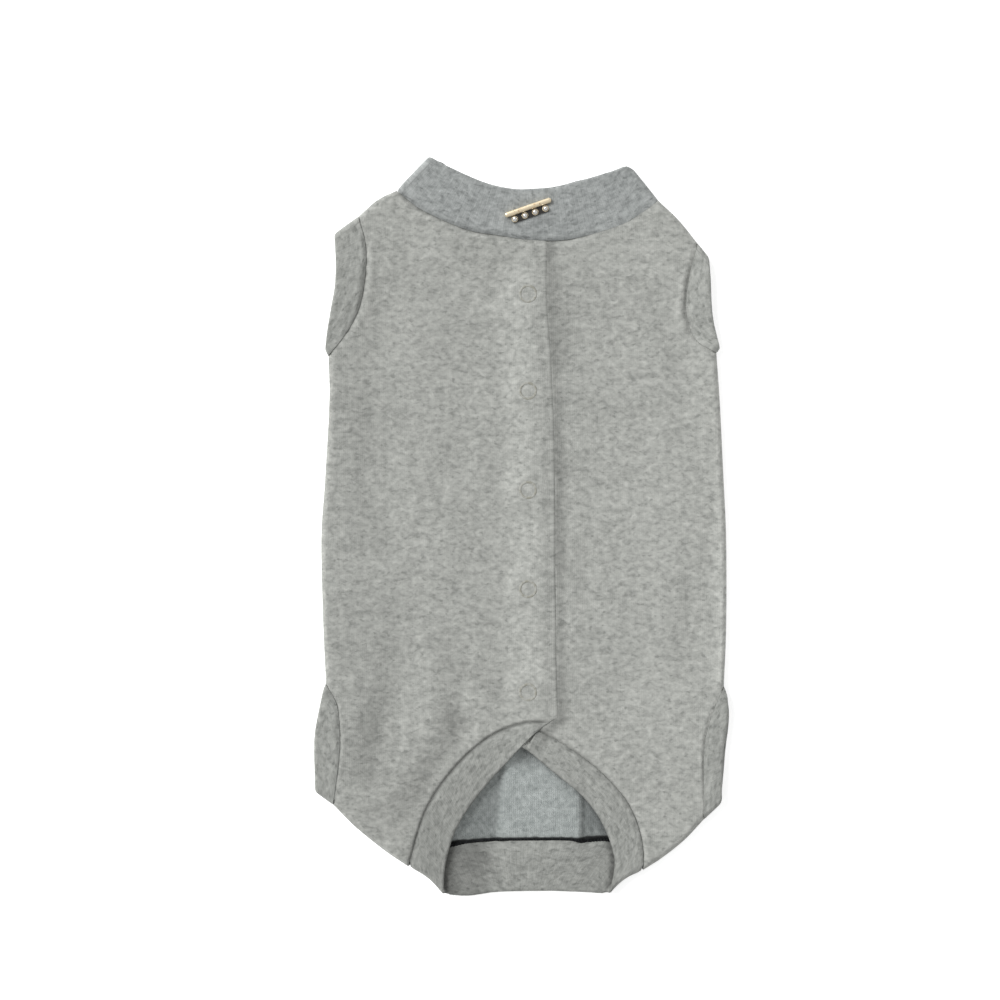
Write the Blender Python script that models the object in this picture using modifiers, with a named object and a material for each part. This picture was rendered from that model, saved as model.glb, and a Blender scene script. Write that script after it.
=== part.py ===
# Sleeveless cat bodysuit in grey marl sweatshirt knit, laid flat on its back with the belly side up.
# The cloth is modelled piece by piece, as it is cut and sewn: a back, two fronts that overlap at a snap
# placket, and rib bands round the neck, the four leg holes and the rear opening.
# Sizes and places are in millimetres: +X is the right of the laid garment, +Y points to its neck, +Z is up.
import math
from collections import namedtuple

import bmesh
import bpy
import numpy as np

MM = 0.001

# Cloth
PANEL_WALL = 1.6          # brushed sweatshirt knit
BAND_WALL = 2.4           # rib knit folded double
SEAM_GAP = 0.3            # between two pieces along a seam
ROLL_RADIUS = 3.4         # the cloth turns over within this distance of a side fold
ROLL_ANGLES = (90.0, 58.0, 28.0)
FOLD_ANGLES = (36.0, 90.0, 144.0)

# Heights of the laid garment above the table
SIDE_SEAM_Z = 3.2         # the side seams lie half way up the rounded edge
MIDDLE_TOP = 5.2          # top of the front where it sags on to the back
EDGE_RISE = 1.2           # the front stands this much higher near the sides and both ends
RISE_SIDE = (55.0, 95.0)  # distance from the middle over which it rises to the sides
RISE_END = (88.0, 128.0)
BAND_PROUD = 0.3          # a band stands this much above the panel beside it

# Placket: the left front laps over the right one
PLACKET_NECK = (12.0, 142.5)      # free edge of the left front, at the collar
PLACKET_REAR = (17.0, -96.0)      # and at the rear opening
PLACKET_TURN = 1.1                # below that it runs to the left this much for each mm down
UNDERLAP_NECK_X = -9.0            # hidden edge of the right front
UNDERLAP_TOP = 4.0                # top of the right front where it is covered
CREST_TOP = 7.6                   # top of the left front along its snaps
CREST_TOP_AT_NECK = 6.8
CREST_WIDTH = 15.0
LIFT_WIDTH = 24.0                 # the left front rises to the crest over this width
DROOP = 0.8                       # and its free edge hangs this much lower
DROOP_WIDTH = 4.0
DIP_WIDTH = 17.0                  # the right front comes out from under it over this width
DIP_WIDTH_AT_NECK = 9.0
NECK_BLEND = (118.0, 140.0)       # heights along the garment where the placket changes to the neck's

# Grids: rows down each stretch of the body's edge, columns across, closer together near the placket
EDGE_ROWS = {"shoulder": 2, "armhole": 5, "side": 9, "leg": 5, "hip": 4}
FRONT_COLUMNS = 13
COLUMN_CROWDING = 1.4
BACK_COLUMNS = 16
COLLAR_COLUMNS = 15

# Both edges of the body from the neck to the rear. The armholes and leg holes are the seams of their bands.
EdgeRow = namedtuple("EdgeRow", "stretch left_x left_y right_x right_y")
BODY_EDGE = [EdgeRow(*row) for row in (
    ("shoulder", -63.0, 168.0, 68.3, 163.0),
    ("shoulder", -72.5, 163.3, 78.5, 153.3),
    ("armhole", -82.0, 155.0, 88.0, 141.5),
    ("armhole", -78.4, 141.0, 84.0, 126.5),
    ("armhole", -78.4, 126.0, 82.2, 114.0),
    ("armhole", -81.5, 109.5, 82.6, 104.0),
    ("armhole", -88.0, 96.5, 87.0, 93.0),
    ("side", -97.0, 85.0, 97.5, 86.5),
    ("side", -96.6, 62.0, 99.2, 62.0),
    ("side", -98.8, 22.0, 101.0, 25.0),
    ("side", -100.6, -6.0, 102.4, -7.0),
    ("side", -99.8, -45.0, 102.4, -50.0),
    ("leg", -98.3, -79.0, 101.2, -80.5),
    ("leg", -92.9, -88.5, 96.4, -90.5),
    ("leg", -91.3, -101.0, 92.6, -102.5),
    ("leg", -91.3, -113.0, 91.0, -114.0),
    ("leg", -92.6, -125.5, 90.8, -128.0),
    ("hip", -94.6, -139.6, 91.2, -147.0),
    ("hip", -84.2, -150.2, 81.4, -157.4),
    ("hip", -69.4, -162.2, 70.4, -166.2),
    ("end", -57.0, -170.6, 60.8, -172.4),
)]

# Free edges of the bands at the armholes and leg holes
LEG_HOLE_EDGE = [EdgeRow(*row) for row in (
    ("armhole", -94.0, 146.3, 93.6, 134.5),
    ("armhole", -93.3, 134.0, 94.4, 124.0),
    ("armhole", -93.6, 121.0, 94.8, 113.0),
    ("armhole", -95.6, 109.0, 95.6, 104.0),
    ("armhole", -97.6, 97.0, 97.3, 96.0),
    ("armhole", -98.6, 88.0, 99.2, 89.0),
    ("leg", -99.4, -81.5, 102.3, -83.0),
    ("leg", -101.6, -92.0, 103.9, -92.0),
    ("leg", -103.6, -103.0, 103.6, -101.0),
    ("leg", -104.0, -112.0, 102.2, -112.0),
    ("leg", -103.8, -122.5, 101.2, -124.0),
    ("leg", -103.6, -133.2, 99.8, -139.0),
)]

# Sections of a band: where it is sewn on, and its free edge
BandRow = namedtuple("BandRow", "seam_x seam_y free_x free_y")
COLLAR = [BandRow(*row) for row in (
    (-63.0, 168.0, -46.6, 185.2),
    (-50.0, 158.0, -37.6, 180.2),
    (-28.0, 148.3, -19.0, 172.0),
    (-11.5, 145.3, -5.0, 168.8),
    (5.0, 143.0, 6.0, 168.8),
    (24.0, 143.4, 20.0, 170.4),
    (48.0, 150.0, 44.0, 177.2),
    (68.3, 163.0, 54.2, 180.4),
)]
REAR_CLEARANCE = 1.3      # the rear band's folds start this far from the corners of the panels
COLLAR_BACK_DROP = 1.2    # the back of the collar stays hidden by this much behind its front
REAR_LEFT = [BandRow(*row) for row in (
    (17.0, -96.0, 10.5, -101.0),
    (0.0, -97.6, -4.0, -114.5),
    (-18.0, -104.5, -20.0, -132.5),
    (-35.2, -120.0, -32.0, -150.0),
    (-48.5, -142.0, -38.0, -168.0),
    (-57.0, -170.6, -39.4, -184.8),
)]
REAR_RIGHT = [BandRow(*row) for row in (
    (-9.0, -95.0, -12.0, -104.5),
    (9.3, -102.0, 2.0, -112.0),
    (26.0, -112.3, 16.0, -123.4),
    (40.5, -124.2, 30.4, -135.4),
    (53.0, -138.8, 40.0, -148.8),
    (59.6, -156.0, 45.6, -166.0),
    (60.8, -172.4, 43.8, -184.4),
)]
REAR_BACK = [BandRow(*row) for row in (
    (-57.0, -170.6, -39.4, -184.8),
    (-39.0, -160.0, -27.0, -184.8),
    (-17.5, -157.0, -12.0, -183.2),
    (18.0, -156.2, 12.0, -182.0),
    (43.0, -158.4, 30.0, -183.0),
    (60.8, -172.4, 43.8, -184.4),
)]

# Soft folds of the fronts: side, the two ends, half width, height (below zero for a trough)
Fold = namedtuple("Fold", "side x0 y0 x1 y1 width height")
FOLDS = [Fold(*row) for row in (
    (-1, -70.0, 118.0, -71.0, -12.0, 13.0, -1.3),
    (-1, -61.0, -66.0, -73.0, -128.0, 10.0, -1.4),
    (-1, -48.0, -56.0, -43.0, -98.0, 8.0, 0.6),
    (-1, -31.0, -100.0, -53.0, -138.0, 8.0, -1.0),
    (1, 52.0, 130.0, 82.0, 110.0, 9.0, 0.6),
    (1, 68.0, 110.0, 79.0, 84.0, 7.0, -1.0),
    (1, 84.0, 92.0, 82.0, 44.0, 8.0, -0.8),
    (1, 26.0, 24.0, 50.0, 18.0, 7.0, -0.7),
    (1, 84.0, -28.0, 88.0, -72.0, 9.0, -1.1),
    (1, 58.0, -94.0, 84.0, -118.0, 10.0, 0.7),
)]
FOLD_FADE = 16.0          # a fold dies away over this length at its ends

# The raised middle of the back, seen through the rear opening
RIDGE_X = (-10.0, 31.0)
RIDGE_SLOPE = 6.0
RIDGE_HEIGHT = 2.2
RIDGE_Y = (-113.0, -134.0)        # begins and is full
RIDGE_BAND_SHARE = 0.6            # share of it that the rear band's seam follows

# Snap fasteners of the placket, from the neck down
SNAP_X = 3.0
SNAP_YS = (116.0, 67.5, 18.0, -31.5, -83.0)
RING_RADII = (3.3, 4.7)
RING_HEIGHT = 0.7
SNAP_BODY_RADIUS = 4.0
SNAP_BODY_HEIGHT = 1.2
SMALL_EDGE = 0.2
ROUND_STEPS = 14

# Plain bar ornament with a row of studs, sewn on the collar
BAR_CENTRE = (3.0, 159.0)
BAR_TILT = 19.0           # degrees
BAR_SIZE = (24.5, 2.6, 1.9)
BAR_EDGE = 0.5
STUD_RADIUS = 1.6
STUD_HEIGHT = 1.7
STUD_COUNT = 4
STUD_PITCH = 5.4

# Section of a band from its seam to its free edge: share of the width, share of the half wall
BAND_SECTION = ((0.0, 0.62), (0.10, 0.96), (0.55, 1.0), (0.90, 0.90), (1.0, 0.45))


def smoothstep(x):
    x = np.clip(x, 0.0, 1.0)
    return x * x * (3.0 - 2.0 * x)


def dense_curve(points):
    """A smooth curve through the points, as many short steps, with the length reached at each."""
    p = np.array(points, float)
    ends = np.vstack([2 * p[0] - p[1], p, 2 * p[-1] - p[-2]])
    t = np.linspace(0.0, 1.0, 24, endpoint=False)[:, None]
    spans = []
    for a, b, c, d in zip(ends, ends[1:], ends[2:], ends[3:]):
        square, cube = 2 * a - 5 * b + 4 * c - d, 3 * b - a - 3 * c + d
        spans.append(0.5 * (2 * b + (c - a) * t + square * t ** 2 + cube * t ** 3))
    curve = np.vstack(spans + [p[-1:]])
    steps = np.linalg.norm(np.diff(curve, axis=0), axis=1)
    return curve, np.concatenate([[0.0], np.cumsum(steps)])


def along(points, shares):
    """Points at these shares of the length of the smooth curve through the given ones."""
    curve, length = dense_curve(points)
    wanted = np.array(shares) * length[-1]
    return np.column_stack([np.interp(wanted, length, curve[:, k]) for k in range(2)])


def length_of(points):
    return dense_curve(points)[1][-1]


def share_at_x(points, x):
    """How far along the curve it passes this x, as a share of its length."""
    curve, length = dense_curve(points)
    return float(np.interp(x, curve[:, 0], length / length[-1]))


def with_insets(shares, length, start=True, end=True):
    """The shares with one more near an end where the cloth turns over."""
    inset = ROLL_RADIUS / length
    extra = ([inset] if start else []) + ([1.0 - inset] if end else [])
    return np.sort(np.concatenate([shares, extra]))


def shifted(points, distance):
    """The line moved sideways, to the left of its direction where the distance is above zero."""
    step = np.gradient(points, axis=0)
    step /= np.linalg.norm(step, axis=1)[:, None]
    return points + distance * np.column_stack([-step[:, 1], step[:, 0]])


def placket_x(y):
    """The free edge of the left front, and below it the edge of its end of the rear band."""
    (x0, y0), (x1, y1) = PLACKET_NECK, PLACKET_REAR
    return x0 + (x1 - x0) * (y - y0) / (y1 - y0) + PLACKET_TURN * np.minimum(y - y1, 0.0)


def fold_height(side, x, y):
    total = np.zeros(np.shape(x))
    for fold in FOLDS:
        if fold.side != side:
            continue
        run = math.hypot(fold.x1 - fold.x0, fold.y1 - fold.y0)
        ux, uy = (fold.x1 - fold.x0) / run, (fold.y1 - fold.y0) / run
        reach = (x - fold.x0) * ux + (y - fold.y0) * uy
        across = (y - fold.y0) * ux - (x - fold.x0) * uy
        fade = smoothstep(1.0 + reach / FOLD_FADE) * smoothstep(1.0 + (run - reach) / FOLD_FADE)
        total = total + fold.height * fade * np.exp(-((across / fold.width) ** 2))
    return total


def body_top(x, y):
    sides = smoothstep((np.abs(x) - RISE_SIDE[0]) / (RISE_SIDE[1] - RISE_SIDE[0]))
    ends = smoothstep((np.abs(y) - RISE_END[0]) / (RISE_END[1] - RISE_END[0]))
    return MIDDLE_TOP + EDGE_RISE * np.maximum(sides, ends)


def neck_share(y):
    return smoothstep((y - NECK_BLEND[0]) / (NECK_BLEND[1] - NECK_BLEND[0]))


def left_top(x, y):
    """Top of the left front, which lies over the right one at the placket."""
    beyond = x - placket_x(y)
    lift = smoothstep(1.0 + (beyond + CREST_WIDTH) / LIFT_WIDTH)
    crest = CREST_TOP + (CREST_TOP_AT_NECK - CREST_TOP) * neck_share(y)
    droop = DROOP * smoothstep(1.0 + beyond / DROOP_WIDTH) * (1.0 - neck_share(y))
    plain = body_top(x, y) + fold_height(-1, x, y) * (1.0 - lift)
    return plain + (crest - plain) * lift - droop


def right_top(x, y):
    """Top of the right front, which dips to pass under the left one."""
    width = DIP_WIDTH + (DIP_WIDTH_AT_NECK - DIP_WIDTH) * neck_share(y)
    clear = smoothstep((x - placket_x(y)) / width)
    plain = body_top(x, y) + fold_height(1, x, y)
    return UNDERLAP_TOP + (plain - UNDERLAP_TOP) * clear


def collar_top(x, y):
    return np.full(np.shape(x), CREST_TOP_AT_NECK - BAND_PROUD)


def ridge(x, y):
    across = smoothstep((x - RIDGE_X[0]) / RIDGE_SLOPE + 1.0) * smoothstep((RIDGE_X[1] - x) / RIDGE_SLOPE + 1.0)
    return RIDGE_HEIGHT * across * smoothstep((RIDGE_Y[0] - y) / (RIDGE_Y[0] - RIDGE_Y[1]))


def stretch_points(table, side, stretch):
    """The points of one stretch of the body's edge, up to where the next one begins."""
    rows = [k for k, row in enumerate(table) if row.stretch == stretch]
    if table is BODY_EDGE:
        rows.append(rows[-1] + 1)
    if side < 0:
        return [(table[k].left_x, table[k].left_y) for k in rows]
    return [(table[k].right_x, table[k].right_y) for k in rows]


def hole_seam(side, stretch):
    """Points along the seam of an armhole or leg hole, shared by the panels and the band."""
    points = stretch_points(BODY_EDGE, side, stretch)
    even = np.linspace(0.0, 1.0, EDGE_ROWS[stretch] + 1)
    return along(points, with_insets(even, length_of(points)))


def body_edge(side):
    """Points down one side of the body, and for each whether the cloth turns over there (1) or meets a band (0)."""
    points, turned = [], []
    for stretch, rows in EDGE_ROWS.items():
        if stretch in ("armhole", "leg"):
            line = hole_seam(side, stretch)
            flags = [1.0] + [0.0] * (len(line) - 2) + [1.0]
        else:
            line = along(stretch_points(BODY_EDGE, side, stretch), np.linspace(0.0, 1.0, rows + 1))
            flags = [1.0] * len(line)
        start = 1 if points else 0
        points.extend(line[start:])
        turned.extend(flags[start:])
    return np.array(points), np.array(turned)


def seam_and_free(rows):
    return [(row.seam_x, row.seam_y) for row in rows], [(row.free_x, row.free_y) for row in rows]


def grid_between(first, last, top, bottom, across, down):
    """Plan points between four edges that share their corners. first and last run down, top and bottom across."""
    u, v = across[None, :, None], down[:, None, None]
    sides = (1 - u) * first[:, None] + u * last[:, None]
    ends = (1 - v) * top[None] + v * bottom[None]
    corners = (1 - v) * ((1 - u) * first[0] + u * last[0]) + v * ((1 - u) * first[-1] + u * last[-1])
    return sides + ends - corners


def with_turn(plan):
    """Adds the columns of the rounded turn beside the first column."""
    edge = plan[:, 0]
    inward = plan[:, 1] - edge
    inward /= np.linalg.norm(inward, axis=1)[:, None]
    reach = [ROLL_RADIUS * (1.0 - math.sin(math.radians(a))) for a in ROLL_ANGLES] + [ROLL_RADIUS]
    added = np.stack([edge + inward * r for r in reach], axis=1)
    return np.concatenate([added, plan[:, 1:]], axis=1)


def turn_over(plan, outer, normal, turned, facing):
    """Bends the first columns of a panel round to the side seam. facing is +1 for a front and -1 for the back."""
    seam_z = SIDE_SEAM_Z + facing * SEAM_GAP / 2
    for k, angle in enumerate(ROLL_ANGLES):
        a = math.radians(angle)
        outward = plan[:, k] - plan[:, k + 1]
        outward /= np.linalg.norm(outward, axis=1)[:, None]
        flat_z = outer[:, k, 2]
        outer[:, k, 2] = flat_z + turned * (seam_z - flat_z) * (1.0 - math.cos(a))
        normal[:, k, :2] = outward * (math.sin(a) * turned)[:, None]
        normal[:, k, 2] = facing * (1.0 + turned * (math.cos(a) - 1.0))


def finish(name, mesh, material, collection):
    data = bpy.data.meshes.new(name)
    mesh.to_mesh(data)
    mesh.free()
    data.materials.append(material)
    data.shade_smooth()
    data.set_sharp_from_angle(angle=math.radians(50.0))
    obj = bpy.data.objects.new(name, data)
    collection.objects.link(obj)
    return obj


def cloth(name, outer, inner, material, collection, ring=False):
    """A closed wall between two grids of points. A ring joins its last column to its first."""
    rows, columns = outer.shape[:2]
    mesh = bmesh.new()
    out = [[mesh.verts.new(p * MM) for p in row] for row in outer]
    inn = [[mesh.verts.new(p * MM) for p in row] for row in inner]
    pairs = [(c, (c + 1) % columns) for c in range(columns if ring else columns - 1)]
    for r in range(rows - 1):
        for c, d in pairs:
            mesh.faces.new((out[r][c], out[r + 1][c], out[r + 1][d], out[r][d]))
            mesh.faces.new((inn[r][c], inn[r][d], inn[r + 1][d], inn[r + 1][c]))
    for c, d in pairs:
        mesh.faces.new((out[0][c], out[0][d], inn[0][d], inn[0][c]))
        mesh.faces.new((out[-1][d], out[-1][c], inn[-1][c], inn[-1][d]))
    if not ring:
        for r in range(rows - 1):
            mesh.faces.new((out[r + 1][0], out[r][0], inn[r][0], inn[r + 1][0]))
            mesh.faces.new((out[r][-1], out[r + 1][-1], inn[r + 1][-1], inn[r][-1]))
    bmesh.ops.recalc_face_normals(mesh, faces=mesh.faces)
    return finish(name, mesh, material, collection)


def front_shares():
    """Places of a front's columns from its side fold to the placket."""
    return 1.0 - (1.0 - np.linspace(0.0, 1.0, FRONT_COLUMNS)) ** COLUMN_CROWDING


def make_front(name, side, centre_x, rear_rows, top, material, collection):
    """One front, from its side fold to its edge at the placket."""
    across = front_shares()
    edge, turned = body_edge(side)
    edge = shifted(edge, -side * SEAM_GAP / 2)
    neck, _ = seam_and_free(COLLAR)
    fold_share, centre_share = (0.0 if side < 0 else 1.0), share_at_x(neck, centre_x)
    top_line = along(neck, fold_share + (centre_share - fold_share) * across)
    top_line = shifted(top_line, side * SEAM_GAP / 2)
    rear, _ = seam_and_free(rear_rows)
    bottom_line = shifted(along(rear, 1.0 - across), -side * SEAM_GAP / 2)
    edge[0], edge[-1] = top_line[0], bottom_line[0]
    down = (edge[:, 1] - edge[0, 1]) / (edge[-1, 1] - edge[0, 1])
    centre = top_line[-1] + (bottom_line[-1] - top_line[-1]) * down[:, None]
    plan = with_turn(grid_between(edge, centre, top_line, bottom_line, across, down))
    outer = np.dstack([plan, top(plan[:, :, 0], plan[:, :, 1])])
    normal = np.zeros_like(outer)
    normal[:, :, 2] = 1.0
    turn_over(plan, outer, normal, turned, 1)
    return cloth(name, outer, outer - normal * PANEL_WALL, material, collection)


def make_back(material, collection):
    across = np.linspace(0.0, 1.0, BACK_COLUMNS)
    neck, _ = seam_and_free(COLLAR)
    rear, _ = seam_and_free(REAR_BACK)
    top_line = shifted(along(neck, across), -SEAM_GAP / 2)
    bottom_line = shifted(along(rear, across), SEAM_GAP / 2)
    edges, turns = {}, {}
    for side, end in ((-1, 0), (1, -1)):
        edge, turns[side] = body_edge(side)
        edges[side] = shifted(edge, -side * SEAM_GAP / 2)
        edges[side][0], edges[side][-1] = top_line[end], bottom_line[end]
    down = np.linspace(0.0, 1.0, len(edges[-1]))
    plan = with_turn(grid_between(edges[-1], edges[1], top_line, bottom_line, across, down))
    plan = with_turn(plan[:, ::-1])
    outer = np.dstack([plan, ridge(plan[:, :, 0], plan[:, :, 1])])
    normal = np.zeros_like(outer)
    normal[:, :, 2] = -1.0
    turn_over(plan, outer, normal, turns[1], -1)
    turn_over(plan[:, ::-1], outer[:, ::-1], normal[:, ::-1], turns[-1], -1)
    return cloth("back", outer, outer - normal * PANEL_WALL, material, collection)


def flat_section(seam, free, seam_z, free_z, facing):
    """One section of a band that lies flat: ends and normals."""
    normal = np.array([0.0, 0.0, float(facing)])
    return np.append(seam, seam_z), np.append(free, free_z), normal, normal


def fold_sections(near_front, near_back, end, upper, lower, clearance=0.0):
    """Sections round a fold, from the front down to the back. The near points are where the turn begins on the
    front and on the back, end is the fold; each is (seam, free), and so are the heights of the wall's middle.
    clearance is how far along the fold the band begins."""
    fold = end[1] - end[0]
    start = (end[0] + fold * clearance / np.linalg.norm(fold), end[1])
    sections = []
    for angle in FOLD_ANGLES:
        a = math.radians(angle)
        places, normals = [], []
        for k in range(2):
            inward = near_front[k] + near_back[k] - 2 * end[k]
            inward /= np.linalg.norm(inward)
            near = near_front[k] if angle <= 90.0 else near_back[k]
            place = near + (start[k] + inward * BAND_WALL / 2 - near) * math.sin(a)
            middle, radius = (upper[k] + lower[k]) / 2, (upper[k] - lower[k]) / 2
            places.append(np.append(place, middle + radius * math.cos(a)))
            normals.append(np.append(-inward * math.sin(a), math.cos(a)))
        sections.append((*places, *normals))
    return sections


def make_band(name, sections, material, collection, ring):
    """Lofts a band through its sections, full in the middle and rounded at its free edge."""
    outer, inner = [], []
    for width_share, wall_share in BAND_SECTION:
        half = BAND_WALL / 2 * wall_share
        middle = [s + (f - s) * width_share for s, f, _, _ in sections]
        normal = [p + (q - p) * width_share for _, _, p, q in sections]
        outer.append([m + n * half for m, n in zip(middle, normal)])
        inner.append([m - n * half for m, n in zip(middle, normal)])
    return cloth(name, np.array(outer), np.array(inner), material, collection, ring)


def wall_middle(top, points):
    """Height of the middle of a band's wall over each point, from the top of the panel beside it."""
    return top(points[:, 0], points[:, 1]) + BAND_PROUD - BAND_WALL / 2


def make_ring_band(name, front, back, top, material, collection):
    """A whole band pressed flat. front and back are (seam, free) lines from one fold to the other."""
    floor = np.full(2, BAND_WALL / 2)
    heights = [wall_middle(top, line) for line in front]
    last = len(front[0]) - 1

    def pick(lines, k):
        return [line[k] for line in lines]

    sections = [flat_section(*pick(front, k), *pick(heights, k), 1) for k in range(1, last)]
    sections += fold_sections(pick(front, -2), pick(back, -2), pick(front, -1), pick(heights, -2), floor)
    sections += [flat_section(*pick(back, k), *floor, -1) for k in range(last - 1, 0, -1)]
    sections += fold_sections(pick(front, 1), pick(back, 1), pick(front, 0), pick(heights, 1), floor)[::-1]
    return make_band(name, sections, material, collection, True)


def make_hole_bands(material, collection):
    for stretch, label in (("armhole", "armhole_band"), ("leg", "leg_band")):
        for side, side_name, top in ((-1, "left", left_top), (1, "right", right_top)):
            seam = shifted(hole_seam(side, stretch), side * SEAM_GAP / 2)
            points = stretch_points(LEG_HOLE_EDGE, side, stretch)
            even = np.linspace(0.0, 1.0, EDGE_ROWS[stretch] + 1)
            lines = (seam, along(points, with_insets(even, length_of(points))))
            make_ring_band("%s_%s" % (label, side_name), lines, lines, top, material, collection)


def make_collar(material, collection):
    even = np.linspace(0.0, 1.0, COLLAR_COLUMNS)
    seam, free = [along(line, with_insets(even, length_of(line))) for line in seam_and_free(COLLAR)]
    seam = shifted(seam, SEAM_GAP / 2)
    sag = COLLAR_BACK_DROP * np.sin(np.linspace(0.0, math.pi, len(free)))
    back_free = free - np.column_stack([np.zeros(len(free)), sag])
    make_ring_band("collar", (seam, free), (seam, back_free), collar_top, material, collection)


def make_rear_band(material, collection):
    """One strip of rib, from the placket down the left front, across the back and up the right front."""
    lines, heights = {}, {}
    for side, rows, top in ((-1, REAR_LEFT, left_top), (1, REAR_RIGHT, right_top)):
        from_centre = (1.0 - front_shares())[::-1]
        pair = []
        for line in seam_and_free(rows):
            pair.append(along(line, with_insets(from_centre, length_of(line), start=False)))
        pair[0] = shifted(pair[0], -side * SEAM_GAP / 2)
        lines[side] = pair
        heights[side] = [wall_middle(top, line) for line in pair]

    even = np.linspace(0.0, 1.0, BACK_COLUMNS)
    seam, free = [along(line, with_insets(even, length_of(line))) for line in seam_and_free(REAR_BACK)]
    seam = shifted(seam, -SEAM_GAP / 2)
    seam_z = BAND_WALL / 2 + RIDGE_BAND_SHARE * ridge(seam[:, 0], seam[:, 1])
    floor = np.full(2, BAND_WALL / 2)

    def front_sections(side):
        (s, f), (sz, fz) = lines[side], heights[side]
        k = 1 if side < 0 else -2
        flat = [flat_section(*points, 1) for points in zip(s[:-1], f[:-1], sz, fz)]
        near_front, near_back, end = (s[-2], f[-2]), (seam[k], free[k]), (s[-1], f[-1])
        return flat + fold_sections(near_front, near_back, end, (sz[-2], fz[-2]), floor, REAR_CLEARANCE)

    sections = front_sections(-1)
    sections += [flat_section(seam[k], free[k], seam_z[k], BAND_WALL / 2, -1) for k in range(1, len(seam) - 1)]
    sections += front_sections(1)[::-1]
    make_band("rear_band", sections, material, collection, False)


def make_turned(name, profile, place, material, collection, closed=False):
    """A round piece from a profile of (radius, height) that runs down its outer side."""
    mesh = bmesh.new()
    points = [mesh.verts.new((r * MM, 0.0, z * MM)) for r, z in profile]
    for a, b in zip(points, points[1:]):
        mesh.edges.new((a, b))
    if closed:
        mesh.edges.new((points[-1], points[0]))
    obj = finish(name, mesh, material, collection)
    obj.location = [v * MM for v in place]
    screw = obj.modifiers.new("turn", "SCREW")
    screw.steps = screw.render_steps = ROUND_STEPS
    screw.use_merge_vertices = True
    screw.merge_threshold = 0.00001
    return obj


def make_snaps(metal, collection):
    inner, outer = RING_RADII
    ring = ((inner + SMALL_EDGE, RING_HEIGHT), (outer - SMALL_EDGE, RING_HEIGHT), (outer, SMALL_EDGE), (outer, 0.0),
            (inner, 0.0), (inner, SMALL_EDGE))
    rim, top = SNAP_BODY_RADIUS, SNAP_BODY_HEIGHT
    body = ((0.0, top), (rim - SMALL_EDGE, top), (rim, top - SMALL_EDGE), (rim, SMALL_EDGE),
            (rim - SMALL_EDGE, 0.0), (0.0, 0.0))
    for k, y in enumerate(SNAP_YS, 1):
        ring_z = float(left_top(SNAP_X, y)) + SEAM_GAP
        make_turned("snap_ring_%d" % k, ring, (SNAP_X, y, ring_z), metal, collection, closed=True)
        make_turned("snap_body_%d" % k, body, (SNAP_X, y, UNDERLAP_TOP + SEAM_GAP), metal, collection)


def make_ornament(gold, collection):
    rest_z = CREST_TOP_AT_NECK + SEAM_GAP
    tilt = math.radians(BAR_TILT)
    length, width, height = [v * MM for v in BAR_SIZE]
    mesh = bmesh.new()
    bmesh.ops.create_cube(mesh, size=1.0)
    bmesh.ops.scale(mesh, vec=(length, width, height), verts=mesh.verts)
    bar = finish("collar_bar", mesh, gold, collection)
    bar.location = (BAR_CENTRE[0] * MM, BAR_CENTRE[1] * MM, rest_z * MM + height / 2)
    bar.rotation_euler.z = tilt
    bevel = bar.modifiers.new("edges", "BEVEL")
    bevel.width = BAR_EDGE * MM
    bevel.segments = 2
    dome = [(STUD_RADIUS * math.sin(a), STUD_HEIGHT * math.cos(a)) for a in np.linspace(0.0, math.pi / 2, 5)]
    below = BAR_SIZE[1] / 2 + STUD_RADIUS + SEAM_GAP
    for k in range(STUD_COUNT):
        run = (k - (STUD_COUNT - 1) / 2) * STUD_PITCH
        x = BAR_CENTRE[0] + run * math.cos(tilt) + below * math.sin(tilt)
        y = BAR_CENTRE[1] + run * math.sin(tilt) - below * math.cos(tilt)
        make_turned("collar_stud_%d" % (k + 1), dome + [(0.0, 0.0)], (x, y, rest_z), gold, collection)


def make_material(name, colour, roughness, metallic):
    material = bpy.data.materials.new(name)
    material.use_nodes = True
    shader = material.node_tree.nodes["Principled BSDF"]
    shader.inputs["Base Color"].default_value = (*colour, 1.0)
    shader.inputs["Roughness"].default_value = roughness
    shader.inputs["Metallic"].default_value = metallic
    return material


def main():
    for obj in list(bpy.data.objects):
        bpy.data.objects.remove(obj, do_unlink=True)
    collection = bpy.data.collections.new("cat_bodysuit")
    bpy.context.scene.collection.children.link(collection)
    fleece = make_material("grey_marl_knit", (0.39, 0.40, 0.38), 0.95, 0.0)
    rib = make_material("grey_marl_rib", (0.31, 0.33, 0.32), 0.95, 0.0)
    steel = make_material("snap_metal", (0.45, 0.44, 0.38), 0.45, 1.0)
    gold = make_material("gold_tone_metal", (0.72, 0.58, 0.36), 0.3, 1.0)
    make_back(fleece, collection)
    make_front("front_right", 1, UNDERLAP_NECK_X, REAR_RIGHT, right_top, fleece, collection)
    make_front("front_left", -1, PLACKET_NECK[0], REAR_LEFT, left_top, fleece, collection)
    make_collar(rib, collection)
    make_hole_bands(rib, collection)
    make_rear_band(rib, collection)
    make_snaps(steel, collection)
    make_ornament(gold, collection)


main()
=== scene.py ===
# Looks of the laid cat bodysuit: marl knit shells with creases and seams, rib bands, snaps and the collar bar.
# Lengths are in millimetres until a mesh is made: +X right of the laid garment, +Y to its neck, +Z up.
import math
from functools import partial

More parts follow.
